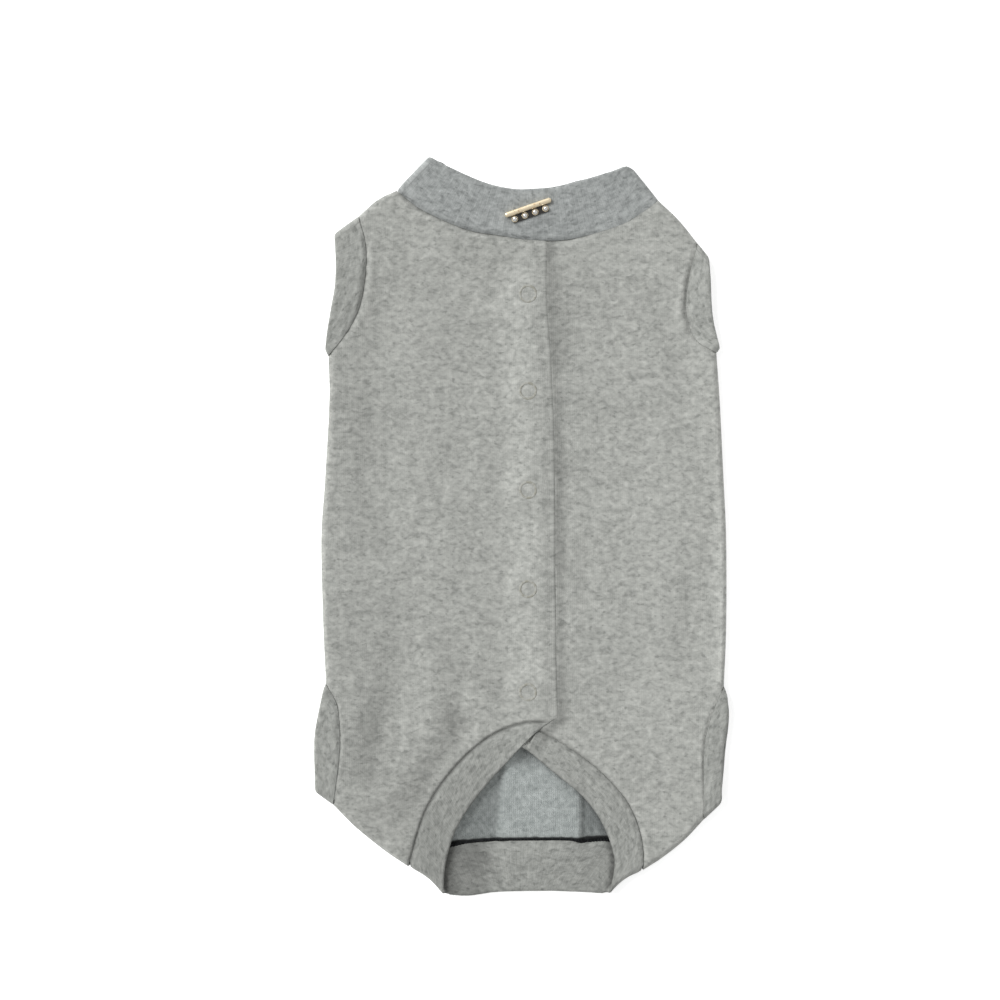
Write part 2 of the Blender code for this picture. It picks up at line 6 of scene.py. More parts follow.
import bmesh
import bpy
import numpy as np
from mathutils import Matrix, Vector


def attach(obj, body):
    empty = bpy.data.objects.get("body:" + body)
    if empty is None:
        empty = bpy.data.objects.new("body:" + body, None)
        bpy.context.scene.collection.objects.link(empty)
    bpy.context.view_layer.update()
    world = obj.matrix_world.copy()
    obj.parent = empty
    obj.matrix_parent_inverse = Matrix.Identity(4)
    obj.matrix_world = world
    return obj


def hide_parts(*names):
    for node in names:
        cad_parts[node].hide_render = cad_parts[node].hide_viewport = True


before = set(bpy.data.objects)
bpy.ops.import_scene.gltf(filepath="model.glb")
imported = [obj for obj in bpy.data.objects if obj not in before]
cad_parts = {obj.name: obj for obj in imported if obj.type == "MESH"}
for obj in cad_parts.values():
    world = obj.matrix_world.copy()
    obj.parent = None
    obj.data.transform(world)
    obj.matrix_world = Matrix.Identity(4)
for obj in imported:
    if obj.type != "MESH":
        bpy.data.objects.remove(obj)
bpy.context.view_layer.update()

mm = 0.001

# Cloth and how it lies
cloth = {
    "panelWall": 1.6,
    "bandWall": 2.4,
    "seamGap": 0.06,        # pieces meet this close at the bottom of a seam's ditch
    "rollRadius": 3.4,      # the sides turn over within this distance
    "steepness": 1.25,      # and their knit is this much longer there
    "weaveInside": 40.0,    # how far off the yarn of the inside is from that of the outside
    "rollSteps": 11,
    "sideSeamZ": 3.2,
    "middleTop": 5.2,
    "edgeRise": 1.2,
    "riseSide": (55.0, 95.0),
    "riseEnd": (88.0, 128.0),
    "bandProud": 0.3,
    "ditchDepth": 0.85,     # a seam pulls the cloth beside it down
    "ditchWidth": 1.25,
    "puffHeight": 0.30,     # and it swells a little further out
    "puffAt": 3.4,
    "puffWidth": 1.6,
    "puckerHeight": 0.16,
    "puckerReach": 5.0,
    "meshStep": 1.06,       # spacing of the fronts' points
    "curveSteps": 40,       # steps of a smooth curve from each of its points to the next
    "rimAngles": (36.0, 72.0, 108.0, 144.0),    # points round a free edge
}

# The placket: the left front laps over the right one
placket = {
    "neck": (10.9, 142.5),
    "rear": (17.0, -96.0),
    "turn": 1.1,
    "underlapX": -9.0,
    "underlapTop": 4.0,
    "underlapTopAtNeck": 5.0,
    "crestTop": 7.6,
    "crestTopAtNeck": 6.8,
    "crestWidth": 5.0,
    "liftWidth": 22.0,
    "droop": 0.85,          # its free edge hangs this much lower
    "droopWidth": 6.0,
    "droopAtRear": (0.6, 4.0, 14.0),    # share of that at the rear, and where the whole of it is reached
    "facing": 0.30,         # its edge is folded under, which makes it this much thicker
    "facingWidth": 4.5,
    "facingAtRear": (0.3, 0.0, 12.0),
    "step": -0.62,          # beside it the right front is this much lower than the middle of that edge
    "stepAtNeck": -0.35,
    "stepAtRear": (0.2, 1.5, -4.5),     # this much less at the rear, from there on
    "underEdge": (-0.6, 1.2),   # it passes under the edge between these distances from it
    "underRear": (4.1, -1.0, 5.0),      # and this much further in where the rear band's ends cross
    "hollow": 8.0,
    "hollowAtChest": 13.0,
    "chest": (98.0, 20.0),
    "neckBlend": (118.0, 140.0),
}

# The placket's edge isn't quite straight, and has a painted shade along it: y, how far to the right, how much
# darker
placketLine = [(-110.0, 0.0, 0.10), (-96.0, 0.0, 0.12), (-87.0, -0.5, 0.17), (-67.0, -0.4, 0.02),
               (-47.0, 0.0, 0.02), (-27.0, 0.1, 0.04), (-7.0, 0.45, 0.10), (13.0, 0.9, 0.10), (33.0, 1.3, 0.08),
               (53.0, 1.4, 0.10), (73.0, 0.9, 0.02), (88.0, 0.6, 0.12), (100.0, 0.0, 0.03), (113.0, -0.6, 0.0),
               (123.0, -0.5, 0.0), (132.0, -0.2, 0.14), (142.5, 0.0, 0.10)]

# Both edges of the body by stretch, from the neck to the rear: left x, y and right x, y
bodyCut = {
    "shoulder": [(-63.0, 168.0, 68.3, 163.0), (-72.5, 163.3, 78.5, 153.3)],
    "armhole": [(-82.0, 155.0, 88.0, 141.5), (-78.4, 141.0, 84.0, 126.5), (-78.4, 126.0, 82.2, 114.0),
                (-81.5, 109.5, 82.6, 104.0), (-88.0, 96.5, 87.0, 93.0)],
    "side": [(-97.0, 85.0, 97.5, 86.5), (-96.6, 62.0, 99.2, 62.0), (-98.8, 22.0, 101.0, 25.0),
             (-100.6, -6.0, 102.4, -7.0), (-99.8, -45.0, 102.4, -50.0)],
    "leg": [(-98.3, -79.0, 101.2, -80.5), (-92.9, -88.5, 96.4, -90.5), (-91.3, -101.0, 92.6, -102.5),
            (-91.3, -113.0, 91.0, -114.0), (-92.6, -125.5, 90.8, -128.0)],
    "hip": [(-94.6, -139.6, 91.2, -147.0), (-84.2, -150.2, 81.4, -157.4), (-69.4, -162.2, 70.4, -166.2)],
    "end": [(-57.0, -170.6, 60.8, -172.4)],
}
# Free edges of the leg bands: left x, y and right x, y
holeEdge = {
    "armhole": [(-94.0, 146.3, 93.6, 134.5), (-93.3, 134.0, 94.4, 124.0), (-93.6, 121.0, 94.8, 113.0),
                (-95.6, 109.0, 95.6, 104.0), (-97.6, 97.0, 97.3, 96.0), (-98.6, 88.0, 99.2, 89.0)],
    "leg": [(-99.4, -81.5, 102.3, -83.0), (-101.6, -92.0, 103.9, -92.0), (-103.6, -103.0, 103.6, -101.0),
            (-104.0, -112.0, 102.2, -112.0), (-103.8, -122.5, 101.2, -124.0), (-103.6, -133.2, 99.8, -139.0)],
}
# Sections of a band: seam x, y and free edge x, y
collarCut = [(-63.0, 168.0, -46.6, 185.2), (-50.0, 158.0, -37.6, 180.2), (-28.0, 148.3, -19.0, 172.0),
             (-11.5, 145.3, -5.0, 168.8), (5.0, 143.0, 6.0, 168.8), (24.0, 143.4, 20.0, 170.4),
             (48.0, 150.0, 43.0, 176.9), (60.6, 157.0, 51.6, 179.9), (68.3, 163.0, 55.8, 178.6)]
rearCut = {
    "left": [(17.0, -96.0, 10.5, -100.9), (12.0, -98.0, 6.0, -104.1), (0.0, -98.6, -4.0, -114.5),
             (-17.0, -106.0, -20.0, -132.5), (-33.9, -121.2, -32.0, -150.0), (-48.1, -142.2, -38.0, -168.0),
             (-57.0, -170.6, -39.4, -184.8)],
    "right": [(-9.0, -95.0, -12.0, -104.5), (9.3, -103.1, 2.0, -112.0), (26.0, -112.6, 16.0, -123.4),
              (40.5, -124.2, 30.4, -135.4), (53.0, -138.8, 40.1, -148.8), (59.6, -156.0, 46.2, -166.8),
              (60.8, -172.4, 43.8, -184.4)],
    "back": [(-57.0, -170.6, -39.4, -184.8), (-39.0, -160.8, -27.0, -185.6), (-17.5, -157.4, -12.0, -183.7),
             (18.0, -156.8, 12.0, -183.2), (31.0, -157.3, 21.0, -183.4), (43.5, -157.0, 31.5, -183.8),
             (51.0, -160.5, 37.5, -184.2), (60.8, -172.4, 43.8, -184.6)],
}

# How dark the painted shade is in each seam's ditch, where the cloth pulls in
seamPaintedShades = {"neck": 0.20, "armhole": 0.20, "leg": 0.12,
             "rear left": 0.45, "rear right": 0.17, "rear back": 0.35}

# Creases placed one by one: side, from x, y, to x, y, half width, height (below zero for a trough)
creases = [
    (-1, -70.0, 118.0, -71.0, -12.0, 13.0, -1.5),
    (-1, -86.0, 61.0, -79.0, 50.0, 5.0, -0.6),
    (-1, -77.0, 55.0, -66.0, 40.0, 5.0, -0.7),
    (-1, -82.0, -45.0, -58.0, -47.5, 2.0, -0.5),
    (-1, -44.0, 133.0, -30.0, 118.0, 8.0, 0.5),
    (-1, -24.0, 90.0, -34.0, 30.0, 12.0, -0.5),
    (-1, -61.0, -66.0, -73.0, -128.0, 10.0, -2.1),
    (-1, -48.0, -56.0, -43.0, -98.0, 7.0, 0.7),
    (-1, -31.0, -64.0, -31.0, -100.0, 6.0, -0.8),
    (-1, -31.0, -100.0, -53.0, -138.0, 7.0, -0.5),
    (-1, -96.0, -76.0, -88.5, -75.4, 1.3, -0.5),
    (1, 25.0, 70.0, 58.0, 66.0, 6.5, 0.6),
    (1, 26.0, 24.0, 50.0, 18.0, 6.0, -0.8),
    (1, 68.0, 110.0, 79.0, 84.0, 5.5, -1.1),
    (1, 59.0, 73.5, 82.0, 73.0, 1.8, -0.45),
    (1, 31.0, -14.0, 31.0, -38.0, 5.5, -0.7),
    (1, 84.0, -28.0, 88.0, -72.0, 9.0, -1.2),
    (1, 34.0, -57.0, 46.0, -57.0, 2.5, -0.4),
    (1, 52.0, 130.0, 82.0, 110.0, 9.0, 0.7),
    (1, 58.0, -94.0, 84.0, -118.0, 10.0, 0.8),
    (1, 84.0, 92.0, 82.0, 44.0, 7.0, -0.9),
]
creaseFade = 12.0
creaseWander = (0.12, 9.0)      # no crease runs quite straight: share of its width, length of a bend

# Painted slow shade on the fronts: side, from x, y, to x, y, half width, how much darker (below zero paints
# light)
paintedShadows = [
    (1, 15.5, 118.0, 18.5, 88.0, 6.5, 0.13),
    (1, 13.5, 140.0, 15.5, 127.0, 3.5, 0.13),
    (1, 58.0, 126.0, 62.0, 112.0, 7.0, -0.04),
    (1, 28.0, 62.0, 62.0, 56.0, 7.0, 0.03),
    (1, 28.0, 8.0, 42.0, 6.0, 7.0, -0.05),
    (1, 22.5, -34.0, 22.5, -64.0, 4.5, -0.08),
    (1, 62.0, -46.0, 94.0, -46.0, 7.0, 0.05),
    (1, 50.0, -114.0, 66.0, -118.0, 7.0, 0.06),
    (-1, -73.5, -88.0, -82.0, -122.0, 9.0, 0.10),
    (-1, -35.0, -94.5, -61.0, -141.0, 7.5, 0.12),
    (-1, -74.0, -108.0, -60.0, -154.0, 14.0, 0.075),
    (-1, -86.0, -48.0, -86.0, -80.0, 8.0, 0.06),
    (-1, -57.0, -58.0, -57.0, -92.0, 6.0, 0.05),
    (-1, -27.0, -74.0, -14.0, -83.0, 6.0, 0.10),
    (-1, -20.0, 110.0, 6.0, 110.0, 6.0, -0.09),
    (-1, -96.0, 78.0, -95.0, 56.0, 4.5, 0.09),
    (-1, -66.0, -13.0, -63.0, -19.0, 6.0, 0.07),
    (-1, -58.0, 50.0, -54.0, 44.0, 6.0, 0.06),
    (-1, -8.0, 137.0, 9.0, 133.0, 7.0, 0.06),
    (-1, -78.0, -42.0, -66.0, -50.0, 10.0, 0.04),
    (-1, -86.0, 62.0, -72.0, 36.0, 11.0, 0.04),
    (-1, -29.0, 139.0, -21.0, 128.0, 5.0, 0.05),
    (-1, -30.0, -101.0, -45.0, -120.0, 5.0, 0.11),
    (-1, -49.0, -132.0, -60.0, -160.0, 5.0, 0.15),
    (-1, -62.0, -104.0, -70.0, -140.0, 9.0, 0.03),
    (-1, -34.0, -98.0, -28.0, -103.0, 5.0, 0.05),
    (-1, -13.0, -80.0, -8.0, -86.0, 5.0, 0.04),
    (-1, -90.0, -136.0, -78.0, -148.0, 6.0, 0.04),
]


def smoothstep(x):
    x = np.clip(x, 0.0, 1.0)
    return x * x * (3.0 - 2.0 * x)


def rise(x, start, width):
    # 0 before the start and 1 beyond the width, which points the other way where it is below zero.
    return smoothstep((x - start) / width)


def hump(x, at, width):
    return np.exp(-(((x - at) / width) ** 2))


def spot(x, y, at, size):
    # 1 at a place in plan, and less and less around it.
    return np.exp(-(((x - at[0]) / size[0]) ** 2) - (((y - at[1]) / size[1]) ** 2))


def runOf(points):
    # How far along a line each of its points is.
    return np.concatenate([[0.0], np.cumsum(np.linalg.norm(np.diff(points, axis=0), axis=1))])


def denseCurve(points):
    # A smooth curve through the points in short steps, and the length reached at each step.
    p = np.array(points, float)
    ends = np.vstack([2 * p[0] - p[1], p, 2 * p[-1] - p[-2]])
    t = np.linspace(0.0, 1.0, cloth["curveSteps"], endpoint=False)[:, None]
    spans = []
    for a, b, c, d in zip(ends, ends[1:], ends[2:], ends[3:]):
        square, cube = 2 * a - 5 * b + 4 * c - d, 3 * b - a - 3 * c + d
        spans.append(0.5 * (2 * b + (c - a) * t + square * t ** 2 + cube * t ** 3))
    curve = np.vstack(spans + [p[-1:]])
    return curve, runOf(curve)


def along(points, distances):
    # Points at these distances along the smooth curve through the given ones.
    curve, length = denseCurve(points)
    return np.column_stack([np.interp(distances, length, curve[:, k]) for k in range(2)])


def lengthOf(points):
    return denseCurve(points)[1][-1]


def distanceAtX(points, x):
    curve, length = denseCurve(points)
    return float(np.interp(x, curve[:, 0], length))


def shifted(points, distance):
    # The line moved sideways, to the left of its direction where the distance is above zero.
    step = np.gradient(points, axis=0)
    step /= np.linalg.norm(step, axis=1)[:, None]
    return points + distance * np.column_stack([-step[:, 1], step[:, 0]])


def placketRow(y, column):
    return np.interp(y, [row[0] for row in placketLine], [row[column] for row in placketLine])


def placketX(y):
    # The free edge of the left front, which turns off beyond its rear end.
    (x0, y0), (x1, y1) = placket["neck"], placket["rear"]
    straight = x0 + (x1 - x0) * (y - y0) / (y1 - y0)
    return straight + placketRow(y, 1) + placket["turn"] * np.minimum(y - y1, 0.0)


def lineShapes(rows, side, x, y):
    # Sum of the soft bands along the table's lines on this side, each times its last value.
    total = np.zeros(np.shape(x))
    for rowSide, x0, y0, x1, y1, width, amount in rows:
        if rowSide != side:
            continue
        run = math.hypot(x1 - x0, y1 - y0)
        ux, uy = (x1 - x0) / run, (y1 - y0) / run
        reach = (x - x0) * ux + (y - y0) * uy
        across = (y - y0) * ux - (x - x0) * uy
        bend = creaseWander[0] * width * np.sin(reach / creaseWander[1])
        fade = smoothstep(1.0 + reach / creaseFade) * smoothstep(1.0 + (run - reach) / creaseFade)
        total = total + amount * fade * hump(across, bend, width)
    return total


def creaseHeight(side, x, y):
    return lineShapes(creases, side, x, y)


def besideCurve(points, x, y):
    # Distance of each point in plan from a smooth curve.
    curve = denseCurve(points)[0][::4]
    nearest = np.full(np.shape(x), np.inf)
    for cx, cy in curve:
        nearest = np.minimum(nearest, np.hypot(x - cx, y - cy))
    return nearest


# Slow unevenness of the laid cloth: direction in degrees, wave length, height, phase
swells = [(12.0, 61.0, 0.10, 0.4), (74.0, 47.0, 0.09, 2.1), (131.0, 38.0, 0.08, 4.0), (38.0, 29.0, 0.06, 1.2),
          (163.0, 23.0, 0.045, 5.3), (101.0, 18.5, 0.035, 3.1), (57.0, 13.7, 0.02, 0.9)]


def swell(x, y):
    total = np.zeros(np.shape(x))
    for degrees, wave, height, phase in swells:
        a = math.radians(degrees)
        total = total + height * np.sin((x * math.cos(a) + y * math.sin(a)) * 2 * math.pi / wave + phase)
    return total


def ripple(s, seed):
    # Uneven small waves along a seam, about 1 high at most.
    waves = ((4.4, 0.30), (6.3, 0.34), (9.1, 0.26), (14.9, 0.22))
    return sum(h * np.sin(2 * math.pi * s / w + seed * 1.7 + 2.3 * k) for k, (w, h) in enumerate(waves))


def bodyTop(x, y):
    (s0, s1), (e0, e1) = cloth["riseSide"], cloth["riseEnd"]
    sides = smoothstep((np.abs(x) - s0) / (s1 - s0))
    ends = smoothstep((np.abs(y) - e0) / (e1 - e0))
    return cloth["middleTop"] + cloth["edgeRise"] * np.maximum(sides, ends)


def neckShare(y):
    low, high = placket["neckBlend"]
    return smoothstep((y - low) / (high - low))


def placketAt(name, y):
    # A height of the placket, which has a value of its own at the neck.
    return placket[name] + (placket[name + "AtNeck"] - placket[name]) * neckShare(y)


snaps = {
    "x": 3.0,
    "ys": (116.0, 67.5, 18.0, -31.5, -83.0),
    "inner": 3.3,
    "outer": 4.6,
    "height": 0.40,
    "footHeight": 0.1,
    "sunk": 0.19,           # the cloth stands this much above the foot of the ring
    "domeInside": (0.16, -0.4, -1.6),   # it swells inwards from there on: how much, from where, over
    "domeRound": (0.14, 1.6, 1.2),      # and in a rim round it: how much, how far out, half width
    "level": (14.0, -8.5),  # it comes level from this distance on
}
ringZ = placket["crestTop"]


def aroundSnaps(x, y, z):
    # The cloth under each snap lies level, and swells a little inside its ring and round it.
    for snapY in snaps["ys"]:
        r = np.hypot(x - snaps["x"], y - snapY)
        amount, start, over = snaps["domeInside"]
        inside = amount * rise(r, snaps["inner"] + start, over)
        amount, away, width = snaps["domeRound"]
        outside = amount * hump(r - snaps["outer"], away, width)
        seat = ringZ + snaps["sunk"] + inside + outside
        z = z + (seat - z) * rise(r, *snaps["level"])
    return z


def shareAtRear(name, y):
    # From the given share at the placket's rear end to 1 further up.
    share, start, width = placket[name]
    return share + (1.0 - share) * rise(y - placket["rear"][1], start, width)


def leftTop(x, y):
    # Top of the left front, which lies over the right one at the placket.
    beyond = x - placketX(y)
    lift = smoothstep(1.0 + (beyond + placket["crestWidth"]) / placket["liftWidth"])
    crest = placketAt("crestTop", y)
    hang = placket["droop"] * shareAtRear("droopAtRear", y)
    droop = hang * smoothstep(1.0 + beyond / placket["droopWidth"]) * (1.0 - neckShare(y))
    plain = bodyTop(x, y)
    return plain + (crest - plain) * lift - droop + creaseHeight(-1, x, y) + swell(x, y)


def leftWall(x, y):
    # Thickness of the left front, which is folded under along its free edge.
    most = placket["facing"] * (1.0 - neckShare(y)) * shareAtRear("facingAtRear", y)
    return cloth["panelWall"] + most * smoothstep(1.0 + (x - placketX(y)) / placket["facingWidth"])


def rightTop(x, y):
    # Top of the right front, which sinks towards the placket and passes under the left one there.
    beyond = x - placketX(y)
    low = placketAt("underlapTop", y)
    edgeX = placketX(y)
    fromRear = y - placket["rear"][1]
    less, start, over = placket["stepAtRear"]
    step = placketAt("step", y) + less * rise(fromRear, start, over)
    beside = aroundSnaps(edgeX, y, leftTop(edgeX, y)) - 0.5 * leftWall(edgeX, y) - step
    width = placket["hollow"] + (placket["hollowAtChest"] - placket["hollow"]) * hump(y, *placket["chest"])
    plain = bodyTop(x, y) + creaseHeight(1, x, y) + swell(x, y)
    free = beside + (plain - beside) * smoothstep(beyond / width)
    first, last = placket["underEdge"]
    further, start, over = placket["underRear"]
    hidden = first - further * (1.0 - rise(fromRear, start, over))
    return low + (free - low) * rise(beyond, hidden, last - first)


def rightWall(x, y):
    # The same everywhere. It is called as leftWall is.
    return np.full(np.shape(x), cloth["panelWall"])


# Painted shade and painted light along the placket: how much, where from and over which distance
placketPaintedShades = {
    "crest": (0.075, -26.0, 12.0),  # the raised edge of the left front is paler
    "crestEnd": (2.0, -4.0),
    "hollow": (0.13, 7.5, -6.0),    # beside it the right front is darker
    "outer": (0.04, 18.0, 45.0),    # and its outer part paler
    "side": (0.25, 92.5, 8.0),      # most of all where it turns over at the side
    "sideEnd": (-92.0, 25.0),
    "line": (2.0, 2.2),             # middle and half width of the shade in placketLine
}


def toneStep(name, x):
    amount, start, width = placketPaintedShades[name]
    return amount * rise(x, start, width)


def leftPaintedShade(x, y):
    # painted light on the left front's raised edge, and the table's painted shade
    beyond = x - placketX(y)
    crest = toneStep("crest", beyond) * rise(beyond, *placketPaintedShades["crestEnd"])
    return (1.0 + crest) * (1.0 - lineShapes(paintedShadows, -1, x, y))


def rightPaintedShade(x, y):
    # painted shade beside the placket and along its edge, painted light further out and at the side, and the
    # table's painted shade
    beyond = x - placketX(y)
    paler = toneStep("outer", x) + toneStep("side", x) * rise(y, *placketPaintedShades["sideEnd"])
    line = placketRow(y, 2) * hump(beyond, *placketPaintedShades["line"])
    beside = (1.0 - toneStep("hollow", beyond)) * (1.0 - line)
    return beside * (1.0 + paler) * (1.0 - lineShapes(paintedShadows, 1, x, y))


# The collar lies a little lower at its right end, and is less uneven elsewhere
collar = {"right": (20.0, 20.0), "lower": 0.4, "swell": (0.7, 0.3)}


def collarTop(x, y):
    right = rise(x, *collar["right"])
    least, more = collar["swell"]
    top = placket["crestTopAtNeck"] - cloth["bandProud"] - collar["lower"] * right
    return top + (least + more * right) * swell(x, y)


# The raised middle of the back, seen through the rear opening
pleat = {"x": (-7.0, 27.6), "lean": 0.083, "leanFrom": -120.0, "slope": 4.0, "height": 1.7,
         "y": (-106.0, -124.0), "bandShare": 0.6}


def pleatSides(x, y):
    # How far a point is inside the left and the right fold of the raised middle, in millimetres.
    x0, x1 = pleat["x"]
    return x - x0 - pleat["lean"] * (y - pleat["leanFrom"]), x1 - x


def ridge(x, y):
    left, right = pleatSides(x, y)
    y0, y1 = pleat["y"]
    across = smoothstep(left / pleat["slope"] + 1.0) * smoothstep(right / pleat["slope"] + 1.0)
    return pleat["height"] * across * smoothstep((y0 - y) / (y0 - y1))


def stretchLine(table, side, stretch):
    # The points of one stretch, up to where the next begins on the body.
    rows = list(table[stretch])
    if table is bodyCut:
        names = list(bodyCut)
        rows.append(bodyCut[names[names.index(stretch) + 1]][0])
    return [(row[0], row[1]) if side < 0 else (row[2], row[3]) for row in rows]


def spaced(length, step, start=(), end=()):
    # Distances from 0 to length, even but for the given ones near either end.
    low = start[-1] if start else 0.0
    high = length - (end[-1] if end else 0.0)
    middle = np.linspace(low, high, max(3, int(round((high - low) / step)) + 1))
    return np.concatenate([start[:-1], middle, [length - d for d in reversed(end[:-1])]])


rimSteps = (0.0, 0.22, 0.5, 0.9, 1.5, 2.3)      # distances from a seam, where the ditch needs points

# The seams of the holes: how deep each is, the share of that at its ends, and how far it fades there
holeSeams = {"armhole": 1.0, "leg": 0.55, "atEnds": 0.10, "upperFade": 0.35, "lowerFade": 0.45}


def seamDepth(stretch, share):
    # How deep the seam of a hole is, by the share of it from its upper end.
    middle = smoothstep(share / holeSeams["upperFade"]) * smoothstep((1.0 - share) / holeSeams["lowerFade"])
    return (holeSeams["atEnds"] + (1.0 - holeSeams["atEnds"]) * middle) * holeSeams[stretch]


def bodyEdge(side, step):
    # Points down one side of the body, how far the cloth turns over there (0 beside a band, 1 elsewhere), and
    # how deep the seam of a hole is.
    points, overs, sewn = [], [], []
    for stretch in ("shoulder", "armhole", "side", "leg", "hip"):
        lines = [stretchLine(bodyCut, s, stretch) for s in (-1, 1)]
        meanLength = sum(lengthOf(line) for line in lines) / 2
        start = rimSteps if stretch == "shoulder" else ()
        end = rimSteps if stretch == "hip" else ()
        places = spaced(meanLength, step, start, end) / meanLength
        line = lines[0] if side < 0 else lines[1]
        length = lengthOf(line)
        run = along(line, places * length)
        if stretch in ("armhole", "leg"):
            nearEnd = np.minimum(places, 1.0 - places) * length
            over = 1.0 - smoothstep(nearEnd / cloth["rollRadius"])
            depth = seamDepth(stretch, places) * (1.0 - over)
        else:
            over, depth = np.ones(len(run)), np.zeros(len(run))
        first = 1 if points else 0
        points.extend(run[first:])
        overs.extend(over[first:])
        sewn.extend(depth[first:])
    return np.array(points), np.array(overs), np.array(sewn)


def gridBetween(first, last, top, bottom, down):
    # Plan points between four edges that share their corners: first and last run down, top and bottom across.
    across = np.linspace(0.0, 1.0, len(top))
    u, v = across[None, :, None], down[:, None, None]
    sides = (1 - u) * first[:, None] + u * last[:, None]
    ends = (1 - v) * top[None] + v * bottom[None]
    corners = (1 - v) * ((1 - u) * first[0] + u * last[0]) + v * ((1 - u) * first[-1] + u * last[-1])
    return sides + ends - corners


def respaced(plan, near, far, step):
    # Each row again with points at set distances from its two ends and even ones between.
    steps = np.linalg.norm(np.diff(plan, axis=1), axis=2)
    reached = np.concatenate([np.zeros((len(plan), 1)), np.cumsum(steps, axis=1)], axis=1)
    count = int(round((reached[:, -1].max() - near[-1] - far[-1]) / step)) + 1
    rows, distances = [], []
    for line, at in zip(plan, reached):
        middle = np.linspace(near[-1], at[-1] - far[-1], count)
        wanted = np.concatenate([near[:-1], middle, at[-1] - np.array(far[-2::-1])])
        rows.append(np.column_stack([np.interp(wanted, at, line[:, k]) for k in range(2)]))
        distances.append(wanted)
    return np.array(rows), np.array(distances)


turnAngles = np.radians(np.linspace(90.0, 0.0, cloth["rollSteps"]))


def turnReach():
    # Distances from the side at which the rounded edge has its points.
    return [cloth["rollRadius"] * (1.0 - math.sin(a)) for a in turnAngles]


def turnOver(z, overs, seamZ, side=1):
    # Brings the first columns of a panel round to its side seam, or the last ones where side is below zero.
    for k, a in enumerate(turnAngles):
        column = k if side > 0 else -1 - k
        z[:, column] += overs * (seamZ - z[:, column]) * (1.0 - math.cos(a))


def columnDistance(plan):
    steps = np.linalg.norm(np.diff(plan, axis=0), axis=2)
    fromTop = np.concatenate([np.zeros((1, plan.shape[1])), np.cumsum(steps, axis=0)])
    return fromTop, fromTop[-1] - fromTop


def seamRelief(distance, s, seed, swollen=1.0, width=None):
    # The ditch of a seam, the swelling beside it and its puckers, as a height.
    ditch = -cloth["ditchDepth"] * hump(distance, 0.0, width or cloth["ditchWidth"])
    puff = swollen * cloth["puffHeight"] * hump(distance, cloth["puffAt"], cloth["puffWidth"])
    pucker = cloth["puckerHeight"] * hump(distance, 0.0, cloth["puckerReach"]) * ripple(s, seed)
    return ditch + puff + pucker


paintedLightBeside = {"amount": 0.045, "at": 3.4, "width": 1.5}     # painted light beside a seam: how much, how far out, half width
# Seams that fade: by how much, from which x and over which distance
seamFades = {"neck": (0.9, 24.0, 18.0), "rear left": (0.85, 8.0, 6.0)}


def paintedSeamShade(distance, darkness, width=1.3, swollen=1.0):
    # Painted shade in the ditch of a seam, and a little painted light beside it.
    lighter = paintedLightBeside["amount"] * swollen * hump(distance, paintedLightBeside["at"], paintedLightBeside["width"])
    return 1.0 - darkness * hump(distance, 0.0, width) + lighter


def fadedSeam(name, x):
    amount, start, width = seamFades[name]
    return 1.0 - amount * rise(x, start, width)


def normalsOf(grid, facing):
    normal = np.cross(np.gradient(grid, axis=1), np.gradient(grid, axis=0))
    normal /= np.maximum(np.linalg.norm(normal, axis=2), 1e-9)[:, :, None]
    return normal * (1.0 if normal[:, :, 2].mean() * facing > 0 else -1.0)


def linked(name, data):
    obj = bpy.data.objects.new(name, data)
    bpy.context.scene.collection.objects.link(obj)
    return obj


def loft(name, loops, weave, slots, materials, closed=False, shade=None):
    # A closed skin over loops of points, each joined to the next. slots gives each point its material.
    count, size = loops.shape[:2]
    index = np.arange(count * size).reshape(count, size)
    first = index if closed else index[:-1]
    second = np.roll(index, -1, axis=0) if closed else index[1:]
    quads = np.stack([first, second, np.roll(second, -1, axis=1), np.roll(first, -1, axis=1)], axis=-1)
    faceSlots = [np.tile(slots, len(first))]
    faces = [quads.reshape(-1, 4)]
    if not closed:
        half = np.arange(size // 2 - 1)
        for loop, flip in ((index[0], 1), (index[-1], -1)):
            corners = [loop[half], loop[half + 1], loop[size - 2 - half], loop[size - 1 - half]]
            cap = np.stack(corners, axis=-1)
            faces.append(cap[:, ::flip])
            faceSlots.append(np.zeros(len(half), int))
    faces = np.concatenate(faces)
    points = loops.reshape(-1, 3)
    a, b, c, d = (points[faces[:, k]] for k in range(4))
    volume = np.einsum("ij,ij->i", a, np.cross(b, c)).sum() + np.einsum("ij,ij->i", a, np.cross(c, d)).sum()
    if volume < 0:
        faces = faces[:, ::-1]
    data = bpy.data.meshes.new(name)
    data.from_pydata((points * mm).tolist(), [], faces.tolist())
    for material in materials:
        data.materials.append(material)
    data.polygons.foreach_set("material_index", np.concatenate(faceSlots).astype(np.int32))
    store = data.attributes.new("weave", "FLOAT_VECTOR", "POINT")
    store.data.foreach_set("vector", weave.reshape(-1).astype(np.float32))
    # painted shade and light, which the knit materials multiply into their colour
    tone = data.attributes.new("shade", "FLOAT", "POINT")
    values = np.ones(len(points)) if shade is None else shade.reshape(-1)
    tone.data.foreach_set("value", values.astype(np.float32))
    data.shade_smooth()
    data.set_sharp_from_angle(angle=math.radians(55.0))
    data.update()
    return linked(name, data)


def fromBmesh(name, mesh, *materials):
    data = bpy.data.meshes.new(name)
    mesh.to_mesh(data)
    mesh.free()
    for material in materials:
        data.materials.append(material)
    data.shade_smooth()
    data.set_sharp_from_angle(angle=math.radians(40.0))
    return linked(name, data)


def place(obj, slot, *nodes):
    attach(obj, "root")
    if nodes:
        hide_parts(*nodes)
    return obj


